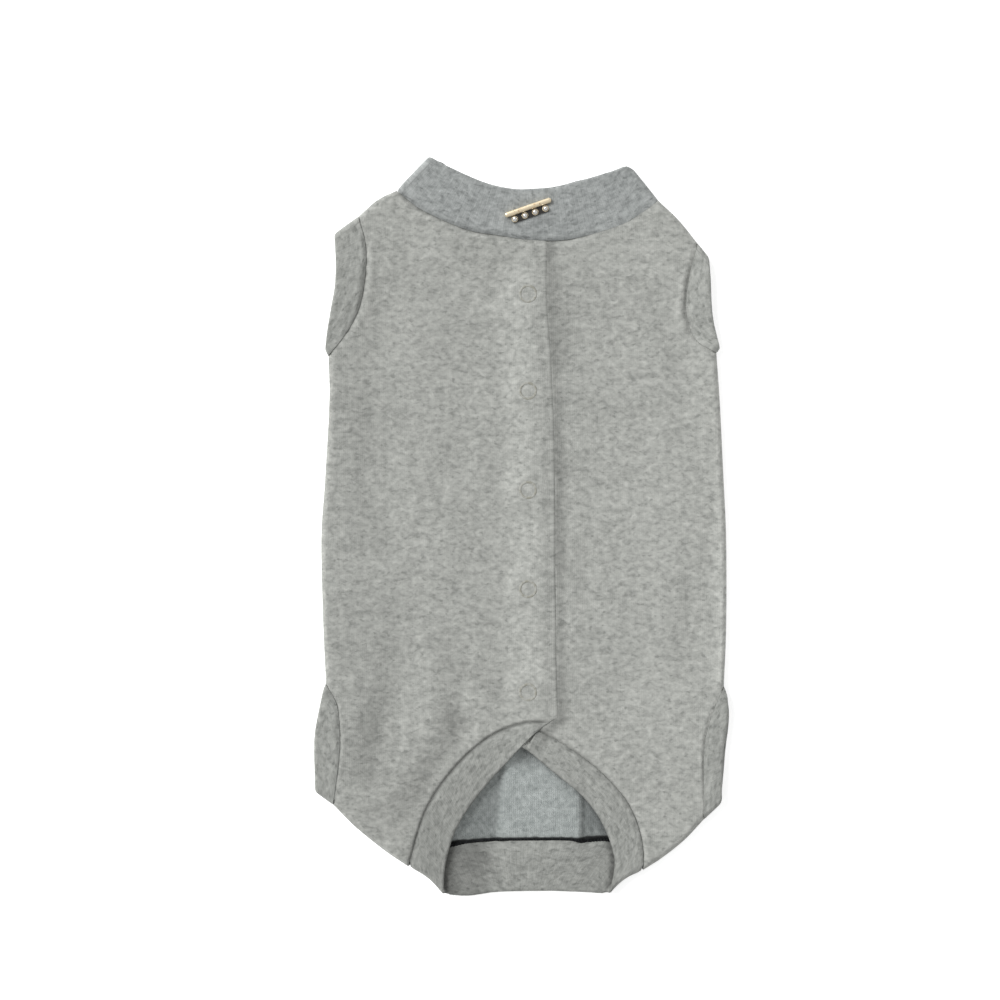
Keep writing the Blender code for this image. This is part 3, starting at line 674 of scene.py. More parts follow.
def shellLoops(outer, wall, facing, freeEdge):
    # Rows of a panel as loops: its outer points, a rounded rim at the last column, its inner points back.
    inner = outer - normalsOf(outer, facing) * wall[:, :, None]
    away = outer[:, -1] - outer[:, -2]
    away[:, 2] = 0.0
    away /= np.linalg.norm(away, axis=1)[:, None]
    middle, half = (outer[:, -1] + inner[:, -1]) / 2, (outer[:, -1] - inner[:, -1]) / 2
    rim = []
    for angle in cloth["rimAngles"]:
        a = math.radians(angle)
        rim.append(middle + half * math.cos(a) + away * freeEdge * math.sin(a))
    return np.concatenate([outer, np.stack(rim, axis=1), inner[:, ::-1]], axis=1)


def panelWeave(plan, distances):
    # Knit coordinates of a panel: across and down in millimetres, and 0 outside or more inside.
    rolled = cloth["rollSteps"] - 1         # columns where the cloth turns over
    across = plan[:, :, 0].copy()
    flat = across[:, rolled:rolled + 1]
    steep = cloth["steepness"] * (distances[:, rolled:rolled + 1] - distances[:, :rolled])
    across[:, :rolled] = np.sign(flat) * (np.abs(flat) + steep)
    outside = np.dstack([across, plan[:, :, 1], np.zeros_like(across)])
    inside = outside[:, ::-1] + np.array([0.0, 0.0, cloth["weaveInside"]])
    return np.concatenate([outside, rimOf(outside), inside], axis=1)


def rimOf(outside):
    # The last column again for each point round the free edge.
    return np.repeat(outside[:, -1:], len(cloth["rimAngles"]), axis=1)


def panelSkin(name, plan, distances, z, wall, facing, freeEdge, tone, toneInside):
    # A panel with its knit outside and its fleece inside.
    outer = np.dstack([plan, z])
    loops = shellLoops(outer, wall, facing, freeEdge)
    shade = np.concatenate([tone, rimOf(tone), toneInside[:, ::-1]], axis=1)
    columns = outer.shape[1]
    slots = np.array([0] * (shade.shape[1] - columns) + [1] * columns)
    return loft(name, loops, panelWeave(plan, distances), slots, [knitOutside, fleeceInside], shade=shade)


print("materials")


def newTree(name, inputs, outputs):
    # A shader node group with named sockets, and its two ends.
    group = bpy.data.node_groups.new(name, "ShaderNodeTree")
    for label, value in inputs.items():
        kind = "NodeSocketFloat"
        if isinstance(value, tuple):
            kind = "NodeSocketColor" if len(value) == 4 else "NodeSocketVector"
        socket = group.interface.new_socket(label, in_out="INPUT", socket_type=kind)
        socket.default_value = value
    for label, kind in outputs.items():
        group.interface.new_socket(label, in_out="OUTPUT", socket_type=kind)
    return group, group.nodes.new("NodeGroupInput"), group.nodes.new("NodeGroupOutput")


def maths(tree, operation, a, b=0.0, c=None):
    node = tree.nodes.new("ShaderNodeMath")
    node.operation = operation
    for socket, value in zip(node.inputs, (a, b, c)):
        if value is None:
            continue
        if isinstance(value, (int, float)):
            socket.default_value = value
        else:
            tree.links.new(value, socket)
    return node.outputs[0]


def noise(tree, vector, detail=2.0, roughness=0.5, distortion=0.0):
    node = tree.nodes.new("ShaderNodeTexNoise")
    node.inputs["Scale"].default_value = 1.0
    node.inputs["Detail"].default_value = detail
    node.inputs["Roughness"].default_value = roughness
    node.inputs["Distortion"].default_value = distortion
    tree.links.new(vector, node.inputs["Vector"])
    return node.outputs["Fac"]


def stretched(tree, vector, sx, sy, sz=1.0, shift=0.0):
    # The vector with each part divided by its own size, which may be a number or a socket.
    split = tree.nodes.new("ShaderNodeSeparateXYZ")
    tree.links.new(vector, split.inputs[0])
    join = tree.nodes.new("ShaderNodeCombineXYZ")
    for k, size in enumerate((sx, sy, sz)):
        value = maths(tree, "DIVIDE", split.outputs[k], size)
        tree.links.new(maths(tree, "ADD", value, shift), join.inputs[k])
    return join.outputs[0]


def mixColour(tree, factor, a, b, mode="MIX"):
    node = tree.nodes.new("ShaderNodeMix")
    node.data_type = "RGBA"
    node.blend_type = mode
    for socket, value in ((node.inputs[0], factor), (node.inputs[6], a), (node.inputs[7], b)):
        if isinstance(value, (int, float, tuple)):
            socket.default_value = value
        else:
            tree.links.new(value, socket)
    return node.outputs[2]


def yarnNoise(tree, weave, sizes, shift, *look):
    # Noise over knit coordinates, with this size across and down.
    return noise(tree, stretched(tree, weave, *sizes, 1.0, shift), *look)


# Noises of the yarn: size across and down, shift, detail, roughness and distortion
yarnNoises = {
    "finer": ((2.4, 1.7), 17.0, 1.0, 0.5),
    "broad": ((19.0, 13.0), 5.0, 2.0, 0.5),
    "speck": ((3.0, 2.0), 41.0, 1.0, 0.5),
    "wobble": ((4.0, 4.0), 9.0, 1.0, 0.5),
    "fibre": ((0.7, 0.42), 3.0, 2.0, 0.6, 0.6),
}
yarnShares = {"streaks": 0.60, "finer": 0.28, "broad": 0.12}
yarnSpread = 3.0
flecks = {"from": 0.62, "gain": 9.0, "soft": 0.2}


def marlGroup():
    # Colour of marl yarn: streaks of dark and pale fibre along the courses, slow mottling and dark flecks.
    tree, start, end = newTree("marl yarn", {
        "Weave": (0.0, 0.0, 0.0), "Pale": (0.5, 0.5, 0.5, 1.0), "Dark": (0.2, 0.2, 0.2, 1.0),
        "Streak length": 3.2, "Streak height": 2.2, "Contrast": 1.0, "Flecks": 0.3,
    }, {"Color": "NodeSocketColor", "Fibre": "NodeSocketFloat"})
    get = start.outputs
    calc, grain = partial(maths, tree), partial(yarnNoise, tree, get["Weave"])
    streaks = grain((get["Streak length"], get["Streak height"]), 0.0, 3.0, 0.62, 0.5)
    finer, broad, speck = (grain(*yarnNoises[name]) for name in ("finer", "broad", "speck"))
    slower = calc("MULTIPLY_ADD", finer, yarnShares["finer"], calc("MULTIPLY", broad, yarnShares["broad"]))
    total = calc("MULTIPLY_ADD", streaks, yarnShares["streaks"], slower)
    centred = calc("SUBTRACT", total, 0.5)
    spread = calc("MULTIPLY_ADD", centred, calc("MULTIPLY", get["Contrast"], yarnSpread), 0.5)
    above = calc("MULTIPLY", calc("SUBTRACT", speck, flecks["from"]), flecks["gain"])
    fleck = calc("SMOOTH_MIN", calc("MAXIMUM", above, 0.0), 1.0, flecks["soft"])
    dark = calc("MULTIPLY", fleck, get["Flecks"])
    clamp = tree.nodes.new("ShaderNodeClamp")
    tree.links.new(calc("SUBTRACT", spread, dark), clamp.inputs[0])
    tree.links.new(mixColour(tree, clamp.outputs[0], get["Dark"], get["Pale"]), end.inputs["Color"])
    tree.links.new(total, end.inputs["Fibre"])
    return tree


loopShape = {"bend": 1.6, "legs": 0.3, "columns": 0.2, "height": 0.5}


def knitGroup():
    # Relief of a plain knit: columns of loops, whose two legs make small Vs, softened by loose fibre.
    tree, start, end = newTree("knit loops", {
        "Weave": (0.0, 0.0, 0.0), "Wale": 1.05, "Course": 0.8, "Fuzz": 0.5,
    }, {"Height": "NodeSocketFloat"})
    get = start.outputs
    calc, grain = partial(maths, tree), partial(yarnNoise, tree, get["Weave"])
    wobble = grain(*yarnNoises["wobble"])
    split = tree.nodes.new("ShaderNodeSeparateXYZ")
    tree.links.new(get["Weave"], split.inputs[0])
    u = calc("ADD", calc("DIVIDE", split.outputs[0], get["Wale"]), wobble)
    leg = calc("PINGPONG", u, 0.5)
    bend = calc("MULTIPLY", wobble, loopShape["bend"])
    v = calc("ADD", calc("DIVIDE", split.outputs[1], get["Course"]), bend)
    slant = calc("SINE", calc("MULTIPLY", calc("SUBTRACT", v, leg), 2 * math.pi))
    wale = calc("SINE", calc("MULTIPLY", u, 2 * math.pi))
    loops = calc("MULTIPLY_ADD", slant, loopShape["legs"], calc("MULTIPLY", wale, loopShape["columns"]))
    fibre = grain(*yarnNoises["fibre"])
    height = calc("MULTIPLY_ADD", fibre, get["Fuzz"], calc("MULTIPLY", loops, loopShape["height"]))
    tree.links.new(height, end.inputs["Height"])
    return tree


marl, knit = marlGroup(), knitGroup()

# Looks of the knits, by the inputs of both groups, the depth of the relief and the sheen
knitColumns = ("Pale", "Dark", "Streak length", "Streak height", "Contrast", "Flecks", "Fuzz",
               "bump", "sheen")
knits = {
    "marl knit": ((0.445, 0.452, 0.425), (0.225, 0.231, 0.217), 4.4, 3.2, 1.0, 0.35, 0.6, 0.00014, 0.12),
    "fleece inside": ((0.437, 0.467, 0.457), (0.247, 0.270, 0.264), 3.0, 3.6, 1.1, 0.2, 1.4, 0.0003, 0.2),
    "marl rib": ((0.387, 0.395, 0.372), (0.190, 0.196, 0.184), 4.4, 3.0, 1.0, 0.45, 0.6, 0.00014, 0.1),
    "collar rib": ((0.386, 0.403, 0.396), (0.190, 0.200, 0.197), 4.8, 3.0, 1.05, 0.45, 0.6, 0.00014, 0.1),
}


def newMaterial(name, metallic, specular):
    material = bpy.data.materials.new(name)
    material.use_nodes = True
    shader = material.node_tree.nodes["Principled BSDF"]
    shader.inputs["Metallic"].default_value = metallic
    shader.inputs["Specular IOR Level"].default_value = specular
    return material, material.node_tree, shader


def withGroup(tree, group, look):
    # The group as a node, with the look's own value for each input that it names.
    node = tree.nodes.new("ShaderNodeGroup")
    node.node_tree = group
    for socket in node.inputs:
        value = look.get(socket.name, socket.default_value)
        socket.default_value = (*value, 1.0) if isinstance(value, tuple) else value
    return node


def addRelief(tree, height, distance, shader):
    bump = tree.nodes.new("ShaderNodeBump")
    bump.inputs["Strength"].default_value = 1.0
    bump.inputs["Distance"].default_value = distance
    tree.links.new(height, bump.inputs["Height"])
    tree.links.new(bump.outputs["Normal"], shader.inputs["Normal"])


def attribute(tree, name):
    node = tree.nodes.new("ShaderNodeAttribute")
    node.attribute_name = name
    return node.outputs


def knitMaterial(name):
    # Cloth whose colour, roughness and relief follow its own knit coordinates. Its colour is multiplied by the
    # shade attribute, which carries painted shade and painted light.
    look = dict(zip(knitColumns, knits[name]))
    material, tree, shader = newMaterial(name, 0.0, 0.2)
    yarn, loops = withGroup(tree, marl, look), withGroup(tree, knit, look)
    weave, tone = attribute(tree, "weave"), attribute(tree, "shade")
    for node in (yarn, loops):
        tree.links.new(weave["Vector"], node.inputs["Weave"])
    grey = tree.nodes.new("ShaderNodeCombineColor")
    for k in range(3):
        tree.links.new(tone["Fac"], grey.inputs[k])
    colour = mixColour(tree, 1.0, yarn.outputs["Color"], grey.outputs[0], "MULTIPLY")
    tree.links.new(colour, shader.inputs["Base Color"])
    rough = maths(tree, "MULTIPLY_ADD", yarn.outputs["Fibre"], -0.2, 1.0)
    tree.links.new(rough, shader.inputs["Roughness"])
    addRelief(tree, loops.outputs["Height"], look["bump"], shader)
    shader.inputs["Sheen Weight"].default_value = look["sheen"]
    shader.inputs["Sheen Roughness"].default_value = 0.5
    return material


knitOutside, fleeceInside, ribKnit, collarKnit = map(knitMaterial, knits)


scratches = {"size": (2.2, 0.12, 0.5), "shift": 7.0}
wornPatches = {"from": 0.8, "gain": 8.0}


def wearGroup():
    # Small worn patches and fine scratches: two colours mixed by a mask, with roughness to match.
    tree, start, end = newTree("surface wear", {
        "Coat": (0.5, 0.5, 0.5, 1.0), "Worn": (0.5, 0.5, 0.5, 1.0), "Patch size": 1.5, "Worn share": 0.4,
        "Smooth": 0.3, "Rough": 0.5,
    }, {"Color": "NodeSocketColor", "Roughness": "NodeSocketFloat", "Height": "NodeSocketFloat"})
    get = start.outputs
    places = tree.nodes.new("ShaderNodeTexCoord").outputs["Object"]
    inMm = stretched(tree, places, mm, mm, mm)
    calc = partial(maths, tree)
    patches = noise(tree, stretched(tree, inMm, *[get["Patch size"]] * 3), 3.0, 0.6)
    lines = noise(tree, stretched(tree, inMm, *scratches["size"], scratches["shift"]), 2.0, 0.6, 0.4)
    edge = calc("SUBTRACT", calc("ADD", patches, get["Worn share"]), wornPatches["from"])
    mask = tree.nodes.new("ShaderNodeClamp")
    tree.links.new(calc("MULTIPLY", edge, wornPatches["gain"]), mask.inputs[0])
    tree.links.new(mixColour(tree, mask.outputs[0], get["Coat"], get["Worn"]), end.inputs["Color"])
    spread = calc("SUBTRACT", get["Rough"], get["Smooth"])
    tree.links.new(calc("MULTIPLY_ADD", lines, spread, get["Smooth"]), end.inputs["Roughness"])
    tree.links.new(calc("MULTIPLY_ADD", lines, 0.5, calc("MULTIPLY", patches, 0.5)), end.inputs["Height"])
    return tree


wear = wearGroup()

# Looks of everything else, by the group's inputs and the values of the shader
finishColumns = ("Coat", "Worn", "Patch size", "Worn share", "Smooth", "Rough",
                 "metallic", "bump", "specular")
finishes = {
    "snap enamel": ((0.345, 0.348, 0.320), (0.265, 0.262, 0.225), 1.7, 0.36, 0.6, 0.9, 0.0, 0.00006, 0.5),
    "snap brass": ((0.45, 0.44, 0.38), (0.38, 0.33, 0.22), 2.0, 0.3, 0.3, 0.6, 1.0, 0.00003, 0.5),
    "gold tone": ((0.93, 0.80, 0.58), (0.66, 0.48, 0.28), 1.9, 0.22, 0.30, 0.50, 0.9, 0.00001, 0.5),
    "silver tone": ((0.93, 0.92, 0.89), (0.60, 0.56, 0.49), 1.1, 0.25, 0.10, 0.24, 0.9, 0.00001, 0.5),
    # its near-black colour also stands in for the shadow between and below the studs
    "dark plate and shadow": ((0.020, 0.018, 0.016), (0.05, 0.045, 0.035), 0.9, 0.25, 0.3, 0.6, 0.2, 0.00001, 0.5),
    # its near-black colour also stands in for the shadow in the rear seam's crevice
    "overlock thread and shadow": ((0.005, 0.006, 0.006), (0.018, 0.019, 0.02), 0.7, 0.3, 0.7, 0.95, 0.0, 0.00004, 0.12),
    "pale floor": ((0.93, 0.93, 0.93), (0.925, 0.925, 0.925), 400.0, 0.3, 0.85, 0.95, 0.0, 0.0, 0.5),
}


def finishMaterial(name):
    look = dict(zip(finishColumns, finishes[name]))
    material, tree, shader = newMaterial(name, look["metallic"], look["specular"])
    surface = withGroup(tree, wear, look)
    tree.links.new(surface.outputs["Color"], shader.inputs["Base Color"])
    tree.links.new(surface.outputs["Roughness"], shader.inputs["Roughness"])
    if look["bump"]:
        addRelief(tree, surface.outputs["Height"], look["bump"], shader)
    return material


(snapEnamel, snapBrass, goldTone, silverTone,
 darkPlateAndShadow, threadAndShadowBlack, paleFloor) = map(finishMaterial, finishes)


print("fronts")

fronts = {
    "front_left": {"side": -1, "centreX": placket["neck"][0], "rear": "left", "top": leftTop,
                   "wall": leftWall, "tone": leftPaintedShade, "freeEdge": 1.6, "rearSwell": 0.3},
    "front_right": {"side": 1, "centreX": placket["underlapX"], "rear": "right", "top": rightTop,
                    "wall": rightWall, "tone": rightPaintedShade, "freeEdge": 0.3, "rearSwell": 1.0},
}
# Their seams: share of the swelling that shows as painted light, and widths at the rear of the ditch and of its
# painted shade. Points along their edges
panelSeams = {"toneSwell": 0.5, "rearDitch": 0.9, "rearTone": 0.85, "points": 180}


def seamOf(rows):
    return [(row[0], row[1]) for row in rows]


def freeOf(rows):
    return [(row[2], row[3]) for row in rows]


def makeFront(name):
    # One front from its side fold to the placket, with the ditches of its seams.
    cut = fronts[name]
    side, gap = cut["side"], cloth["seamGap"]
    edge, overs, sewn = bodyEdge(side, cloth["meshStep"])
    edge = shifted(edge, -side * gap / 2)
    neck, rear = seamOf(collarCut), seamOf(rearCut[cut["rear"]])
    across = np.linspace(0.0, 1.0, panelSeams["points"])
    foldAt = 0.0 if side < 0 else lengthOf(neck)
    topLine = along(neck, foldAt + (distanceAtX(neck, cut["centreX"]) - foldAt) * across)
    topLine = shifted(topLine, side * gap / 2)
    bottomLine = shifted(along(rear, (1.0 - across) * lengthOf(rear)), -side * gap / 2)
    edge[0], edge[-1] = topLine[0], bottomLine[0]
    down = (edge[:, 1] - edge[0, 1]) / (edge[-1, 1] - edge[0, 1])
    centre = topLine[-1] + (bottomLine[-1] - topLine[-1]) * down[:, None]
    if side < 0:
        centre[:, 0] += placketRow(centre[:, 1], 1)
    plan = gridBetween(edge, centre, topLine, bottomLine, down)
    plan, distances = respaced(plan, turnReach(), rimSteps, cloth["meshStep"])
    x, y = plan[:, :, 0], plan[:, :, 1]
    fromNeck, fromRear = columnDistance(plan)
    z = cut["top"](x, y)
    if side < 0:
        z = aroundSnaps(x, y, z)
    seed = 1.0 + side
    meets = sewn[:, None]
    rearSwell, toneSwell = cut["rearSwell"], panelSeams["toneSwell"]
    neckDepth = fadedSeam("neck", x)
    rearDepth = fadedSeam("rear left", x) if side < 0 else 1.0
    z = z + neckDepth * seamRelief(fromNeck, distances, seed)
    z = z + rearDepth * seamRelief(fromRear, distances, seed + 2, rearSwell, panelSeams["rearDitch"])
    z = z + meets * seamRelief(distances, runOf(edge)[:, None], seed + 4)
    # painted shade and light of the placket and of the table of painted shadows, then the painted shade of each
    # seam
    tone = cut["tone"](x, y)
    tone = tone * paintedSeamShade(fromNeck, seamPaintedShades["neck"] * neckDepth, swollen=toneSwell * neckDepth)
    tone = tone * paintedSeamShade(fromRear, seamPaintedShades["rear " + cut["rear"]] * rearDepth, panelSeams["rearTone"],
                           toneSwell * rearSwell * rearDepth)
    hole = np.where(y > 0.0, seamPaintedShades["armhole"], seamPaintedShades["leg"])
    tone = tone * (1.0 + meets * (paintedSeamShade(distances, hole) - 1.0))
    turnOver(z, overs, cloth["sideSeamZ"] + gap / 2)
    return panelSkin("knit_" + name, plan, distances, z, cut["wall"](x, y), 1, cut["freeEdge"], tone, tone)


frontPieces = {name: place(makeFront(name), "marl_knit", name) for name in fronts}

print("back")

# The inside of the back, on show in the rear opening, has painted shade on either side of its raised middle
back = {
    "meshStep": 1.32,
    "points": 240,
    "swell": 0.55,              # it is less uneven than the fronts, and otherwise placed
    "swellPlace": (1.3, 20.0),
    "lift": 0.02,
    "seamRelief": 0.5,
    "groove": (0.85, 1.1),      # along the rear seam, where the dark overlock thread shows: depth, width
    "trough": (0.3, -1.0, 4.0), # down the middle: depth, x, half width
    "troughEnds": ((-112.0, -10.0), (-148.0, 10.0)),
    # how much of the cloth's colour the painted shade leaves on the left and on the right
    "toneLeft": 0.62,
    "toneRight": 0.58,
    "toneFrom": 0.2,            # share of a fold's slope at which its dark side begins
    "nap": 0.07,
    "napAlong": (0.8, 0.6),
    "napPitch": 2.1,
    "napBend": (1.5, 7.0),
    "deep": (-100.0, -8.0),     # the dark begins here
    "rim": (1.1, 3.8),          # painted light along the left free edge: how much, width
    "underRight": (0.33, 1.9),  # painted shade under the right one
    "underTip": (0.42, (2.0, -116.0), (6.5, 5.0)),      # and in the corner
    # painted shadow along the rear seam: how much colour it leaves, its width, how uneven, and how much wider
    # towards its ends
    "seamLine": 0.07,
    "seamWidth": 0.62,
    "seamRipple": 0.35,
    "seamWider": ((1.5, -26.0, -8.0), (1.2, 26.0, 8.0)),    # towards its ends: how much, from x, over
    # painted shade of the rear seam on the outside
    "outsideSeam": 0.2,
}


def makeBack():
    gap = cloth["seamGap"]
    neck, rear = seamOf(collarCut), seamOf(rearCut["back"])
    across = np.linspace(0.0, 1.0, back["points"])
    topLine = shifted(along(neck, across * lengthOf(neck)), -gap / 2)
    bottomLine = shifted(along(rear, across * lengthOf(rear)), gap / 2)
    edges, overs = {}, {}
    for side, end in ((-1, 0), (1, -1)):
        edge, overs[side], _ = bodyEdge(side, back["meshStep"])
        edges[side] = shifted(edge, -side * gap / 2)
        edges[side][0], edges[side][-1] = topLine[end], bottomLine[end]
    middle = (edges[-1][:, 1] + edges[1][:, 1]) / 2
    down = (middle - middle[0]) / (middle[-1] - middle[0])
    plan = gridBetween(edges[-1], edges[1], topLine, bottomLine, down)
    plan, distances = respaced(plan, turnReach(), turnReach(), back["meshStep"])
    x, y = plan[:, :, 0], plan[:, :, 1]
    fromNeck, fromRear = columnDistance(plan)
    squeeze, shift = back["swellPlace"]
    z = ridge(x, y) + np.maximum(0.0, back["swell"] * swell(x * squeeze + shift, y) + back["lift"])
    z = z - back["seamRelief"] * (seamRelief(fromNeck, distances, 7.0) + seamRelief(fromRear, distances, 9.0))
    z = np.maximum(z, 0.0)
    for side in (-1, 1):
        turnOver(z, overs[side], cloth["sideSeamZ"] - gap / 2, -side)
    depth, width = back["groove"]
    groove = depth * hump(fromRear, 0.0, width)
    depth, middle, width = back["trough"]
    upper, lower = back["troughEnds"]
    groove = groove + depth * hump(x, middle, width) * rise(y, *upper) * rise(y, *lower)
    # painted shade of its seams
    tone = paintedSeamShade(fromNeck, seamPaintedShades["neck"]) * paintedSeamShade(fromRear, back["outsideSeam"])
    return panelSkin("knit_back", plan, distances, z, cloth["panelWall"] - groove, -1, 0.05, tone,
                     insidePaintedShade(x, y, fromRear))


def insidePaintedShade(x, y, fromRear):
    # Painted shade and painted light of the back's inside, with the nap of its fleece.
    left, right = pleatSides(x, y)
    (alongX, alongY), (bend, length) = back["napAlong"], back["napBend"]
    nap = (alongX * x + alongY * y) * back["napPitch"] + bend * np.sin(y / length)
    nap = 1.0 + back["nap"] * np.sin(nap)
    dark = 0.0
    for inside, amount in ((left, back["toneLeft"]), (right, back["toneRight"])):
        dark = dark + smoothstep(back["toneFrom"] - inside / pleat["slope"]) * (1.0 - amount * nap)
    tone = 1.0 - rise(y, *back["deep"]) * dark
    amount, width = back["rim"]
    tone = tone * (1.0 + amount * hump(besideCurve(freeOf(rearCut["left"]), x, y), 0.0, width))
    amount, width = back["underRight"]
    tone = tone * (1.0 - amount * hump(besideCurve(freeOf(rearCut["right"])[:6], x, y), 0.0, width))
    amount, at, size = back["underTip"]
    tone = tone * (1.0 - amount * spot(x, y, at, size))
    wider = sum(amount * rise(x, start, over) for amount, start, over in back["seamWider"])
    width = back["seamWidth"] * (1.0 + back["seamRipple"] * ripple(x, 3.0) + wider)
    return tone * (1.0 - (1.0 - back["seamLine"]) * smoothstep((1.5 * width - fromRear) / width))


backPiece = place(makeBack(), "marl_knit", "back")

print("bands")

bands = {
    "step": 0.43,
    "ribPitch": 1.72,
    "ribHeight": 0.022,
    "foldAngles": tuple(range(9, 180, 9)),
    "seamSteps": (0.0, 0.25, 0.6, 1.1, 1.8, 2.8),       # points of the section, measured from the seam
    "freeSteps": (1.9, 1.25, 0.8, 0.45, 0.2, 0.05, 0.0),    # and from the free edge
    "middleSteps": 9,
    "pulledIn": 0.62,       # share of its wall that the seam takes, and over which distance
    "pullReach": 1.2,
    "roundEdge": 1.3,
    "fullness": 0.06,
    "waveHeight": 0.14,
    "waveStretch": 0.8,
    "ribStart": 0.06,       # its ribs reach their height over this share of its width, and end over that one
    "ribEnd": 0.02,
    "puckerShare": 0.2,     # its puckers reach this share of its width
    "tones": {"armhole_band_left": 1.03, "armhole_band_right": 1.13, "leg_band_left": 0.99,
              "leg_band_right": 1.0},
    "peeks": {"leg_band_right": 1.3},       # the front half of its free edge is this much further in
    "collarBackDrop": 1.2,  # the collar's back half hides behind the front one by this much
    # but shows a thin edge at two places: how much, and between which slopes
    "collarPeeks": ((1.75, (6.0, 8.0), (47.0, -22.0)), (1.1, (-37.5, -1.5), (-45.0, 5.0))),
    "rearClearance": 1.3,
    "rearSag": (1.5, -4.0, -14.0),  # the left free edge of the rear opening sinks towards the back
    # how far the folds at both ends of it are drawn in: row of the back's cut, amount, share inwards
    "rearBows": ((0, 1.8, 0.63), (-1, 1.7, -0.63)),
    "bowUp": 0.78,          # share upwards
    "bowReach": 17.0,
    "rearDitch": 0.85,
    "rearRelief": 0.8,
    "backTop": ((1.3, 0.6), (4.2, -0.6)),   # heights between which a band's back half has its upper side
    "weaveInside": (0.0, 3.0, 60.0),        # its inside has other yarn, and each band its own
    "weaveApart": (200.0, 30.0),
    "tip": (0.6, 7.0),      # the left end of the rear band is this much thinner, over this length
}


def flatSections(seam, free, seamZ, freeZ, facing):
    # Sections of a band that lies flat: seam points, free points and their normals.
    normal = np.tile([0.0, 0.0, float(facing)], (len(seam), 1))
    return np.column_stack([seam, seamZ]), np.column_stack([free, freeZ]), normal, normal


def foldSections(nearFront, nearBack, end, upper, lower, clearance=0.0):
    # Sections round a fold from the front down to the back, as in flatSections.
    fold = end[1] - end[0]
    start = (end[0] + fold * clearance / np.linalg.norm(fold), end[1])
    parts = [[], [], [], []]
    for angle in bands["foldAngles"]:
        a = math.radians(angle)
        for k in range(2):
            inward = nearFront[k] + nearBack[k] - 2 * end[k]
            inward = inward / np.linalg.norm(inward)
            near = nearFront[k] if angle <= 90.0 else nearBack[k]
            at = near + (start[k] + inward * cloth["bandWall"] / 2 - near) * math.sin(a)
            middle, radius = (upper[k] + lower[k]) / 2, (upper[k] - lower[k]) / 2
            parts[k].append(np.append(at, middle + radius * math.cos(a)))
            parts[2 + k].append(np.append(-inward * math.sin(a), math.cos(a)))
    return tuple(np.array(part) for part in parts)


def joined(*sections):
    return tuple(np.concatenate([part[k] for part in sections]) for k in range(4))


def backwards(sections):
    return tuple(part[::-1] for part in sections)


def wallMiddle(top, points):
    return top(points[:, 0], points[:, 1]) + cloth["bandProud"] - cloth["bandWall"] / 2


def bandSection(width):
    # Shares of a band's width, how far the seam pulls it in there, and how full it is up to its round edge.
    near = [d / width for d in bands["seamSteps"]]
    far = [1.0 - d / width for d in bands["freeSteps"]]
    shares = np.concatenate([near, np.linspace(near[-1], far[0], bands["middleSteps"])[1:-1], far])
    pulled = bands["pulledIn"] * np.exp(-((shares * width / bands["pullReach"]) ** 1.5))
    rounded = np.sqrt(1.0 - np.clip(1.0 - (1.0 - shares) * width / bands["roundEdge"], 0.0, 0.99) ** 2)
    return zip(shares, pulled, rounded * (1.0 + bands["fullness"] * np.sin(math.pi * shares)))


def aboveTable(points):
    return np.column_stack([points[:, :2], np.maximum(points[:, 2], 0.0)])


def makeBand(name, sections, closed, seed, tones, paintedShadeAt, material, depths=1.0, bows=0.0,
             ditch=1.3, tip=0.0):
    # Lofts a rib band through its sections, with its ribs and a slightly wavy free edge. tones is how dark its
    # seam's painted shade is at each section, the function after it the painted shade and light of any point,
    # depths how deep the seam is, bows how the band bends in plan, ditch how wide the seam's painted shade is
    # and tip how much thinner the band is at its start.
    seam, free, seamNormal, freeNormal = sections
    middle = (seam + free) / 2
    ahead = np.roll(middle, -1, axis=0) if closed else middle[1:]
    steps = np.linalg.norm(ahead - (middle if closed else middle[:-1]), axis=1)
    run = np.concatenate([[0.0], np.cumsum(steps)])
    total = run[-1]
    run = run[:len(seam)]
    pitch = total / round(total / bands["ribPitch"])
    rib = bands["ribHeight"] * np.cos(2 * math.pi * run / pitch)
    wave = bands["waveHeight"] * ripple(run * bands["waveStretch"], seed)
    thinned = 1.0 - tip * (1.0 - smoothstep(run / bands["tip"][1]))
    outer, inner, coordinates, shade = [], [], [], []
    width = np.linalg.norm(free - seam, axis=1)
    for share, pulled, full in bandSection(float(np.median(width))):
        at = seam + (free - seam) * share + bows * math.sin(math.pi * share ** 0.9)
        normal = seamNormal + (freeNormal - seamNormal) * share
        half = cloth["bandWall"] / 2 * full * (1.0 - pulled * depths) * thinned
        relief = rib * min(1.0, share / bands["ribStart"]) * min(1.0, (1.0 - share) / bands["ribEnd"])
        lift = wave * share ** 2
        lift = lift + cloth["puckerHeight"] * hump(share, 0.0, bands["puckerShare"]) * ripple(run, seed + 3)
        outer.append(aboveTable(at + normal * (half + relief + lift)[:, None]))
        inner.append(aboveTable(at - normal * (half + relief - lift)[:, None]))
        coordinates.append(np.column_stack([run, share * width, np.zeros(len(run))]))
        shade.append(paintedSeamShade(share * width, tones, ditch))
    loops = np.stack(outer + inner[::-1], axis=1)
    inside = [c + np.array(bands["weaveInside"]) for c in coordinates[::-1]]
    first, apart = bands["weaveApart"]
    weave = np.stack(coordinates + inside, axis=1) + np.array([0.0, 0.0, first + apart * seed])
    shades = np.stack(shade + shade[::-1], axis=1) * paintedShadeAt(*np.moveaxis(loops, 2, 0))
    return loft(name, loops, weave, np.zeros(2 * len(outer), int), [material], closed, shades)


def plainTone(tone):
    return lambda x, y, z: np.full(np.shape(x), tone)


def onBackHalf(z):
    # 1 on the upper side of a band's back half, 0 on its front half and on its underside.
    low, high = bands["backTop"]
    return rise(z, *low) * rise(z, *high)
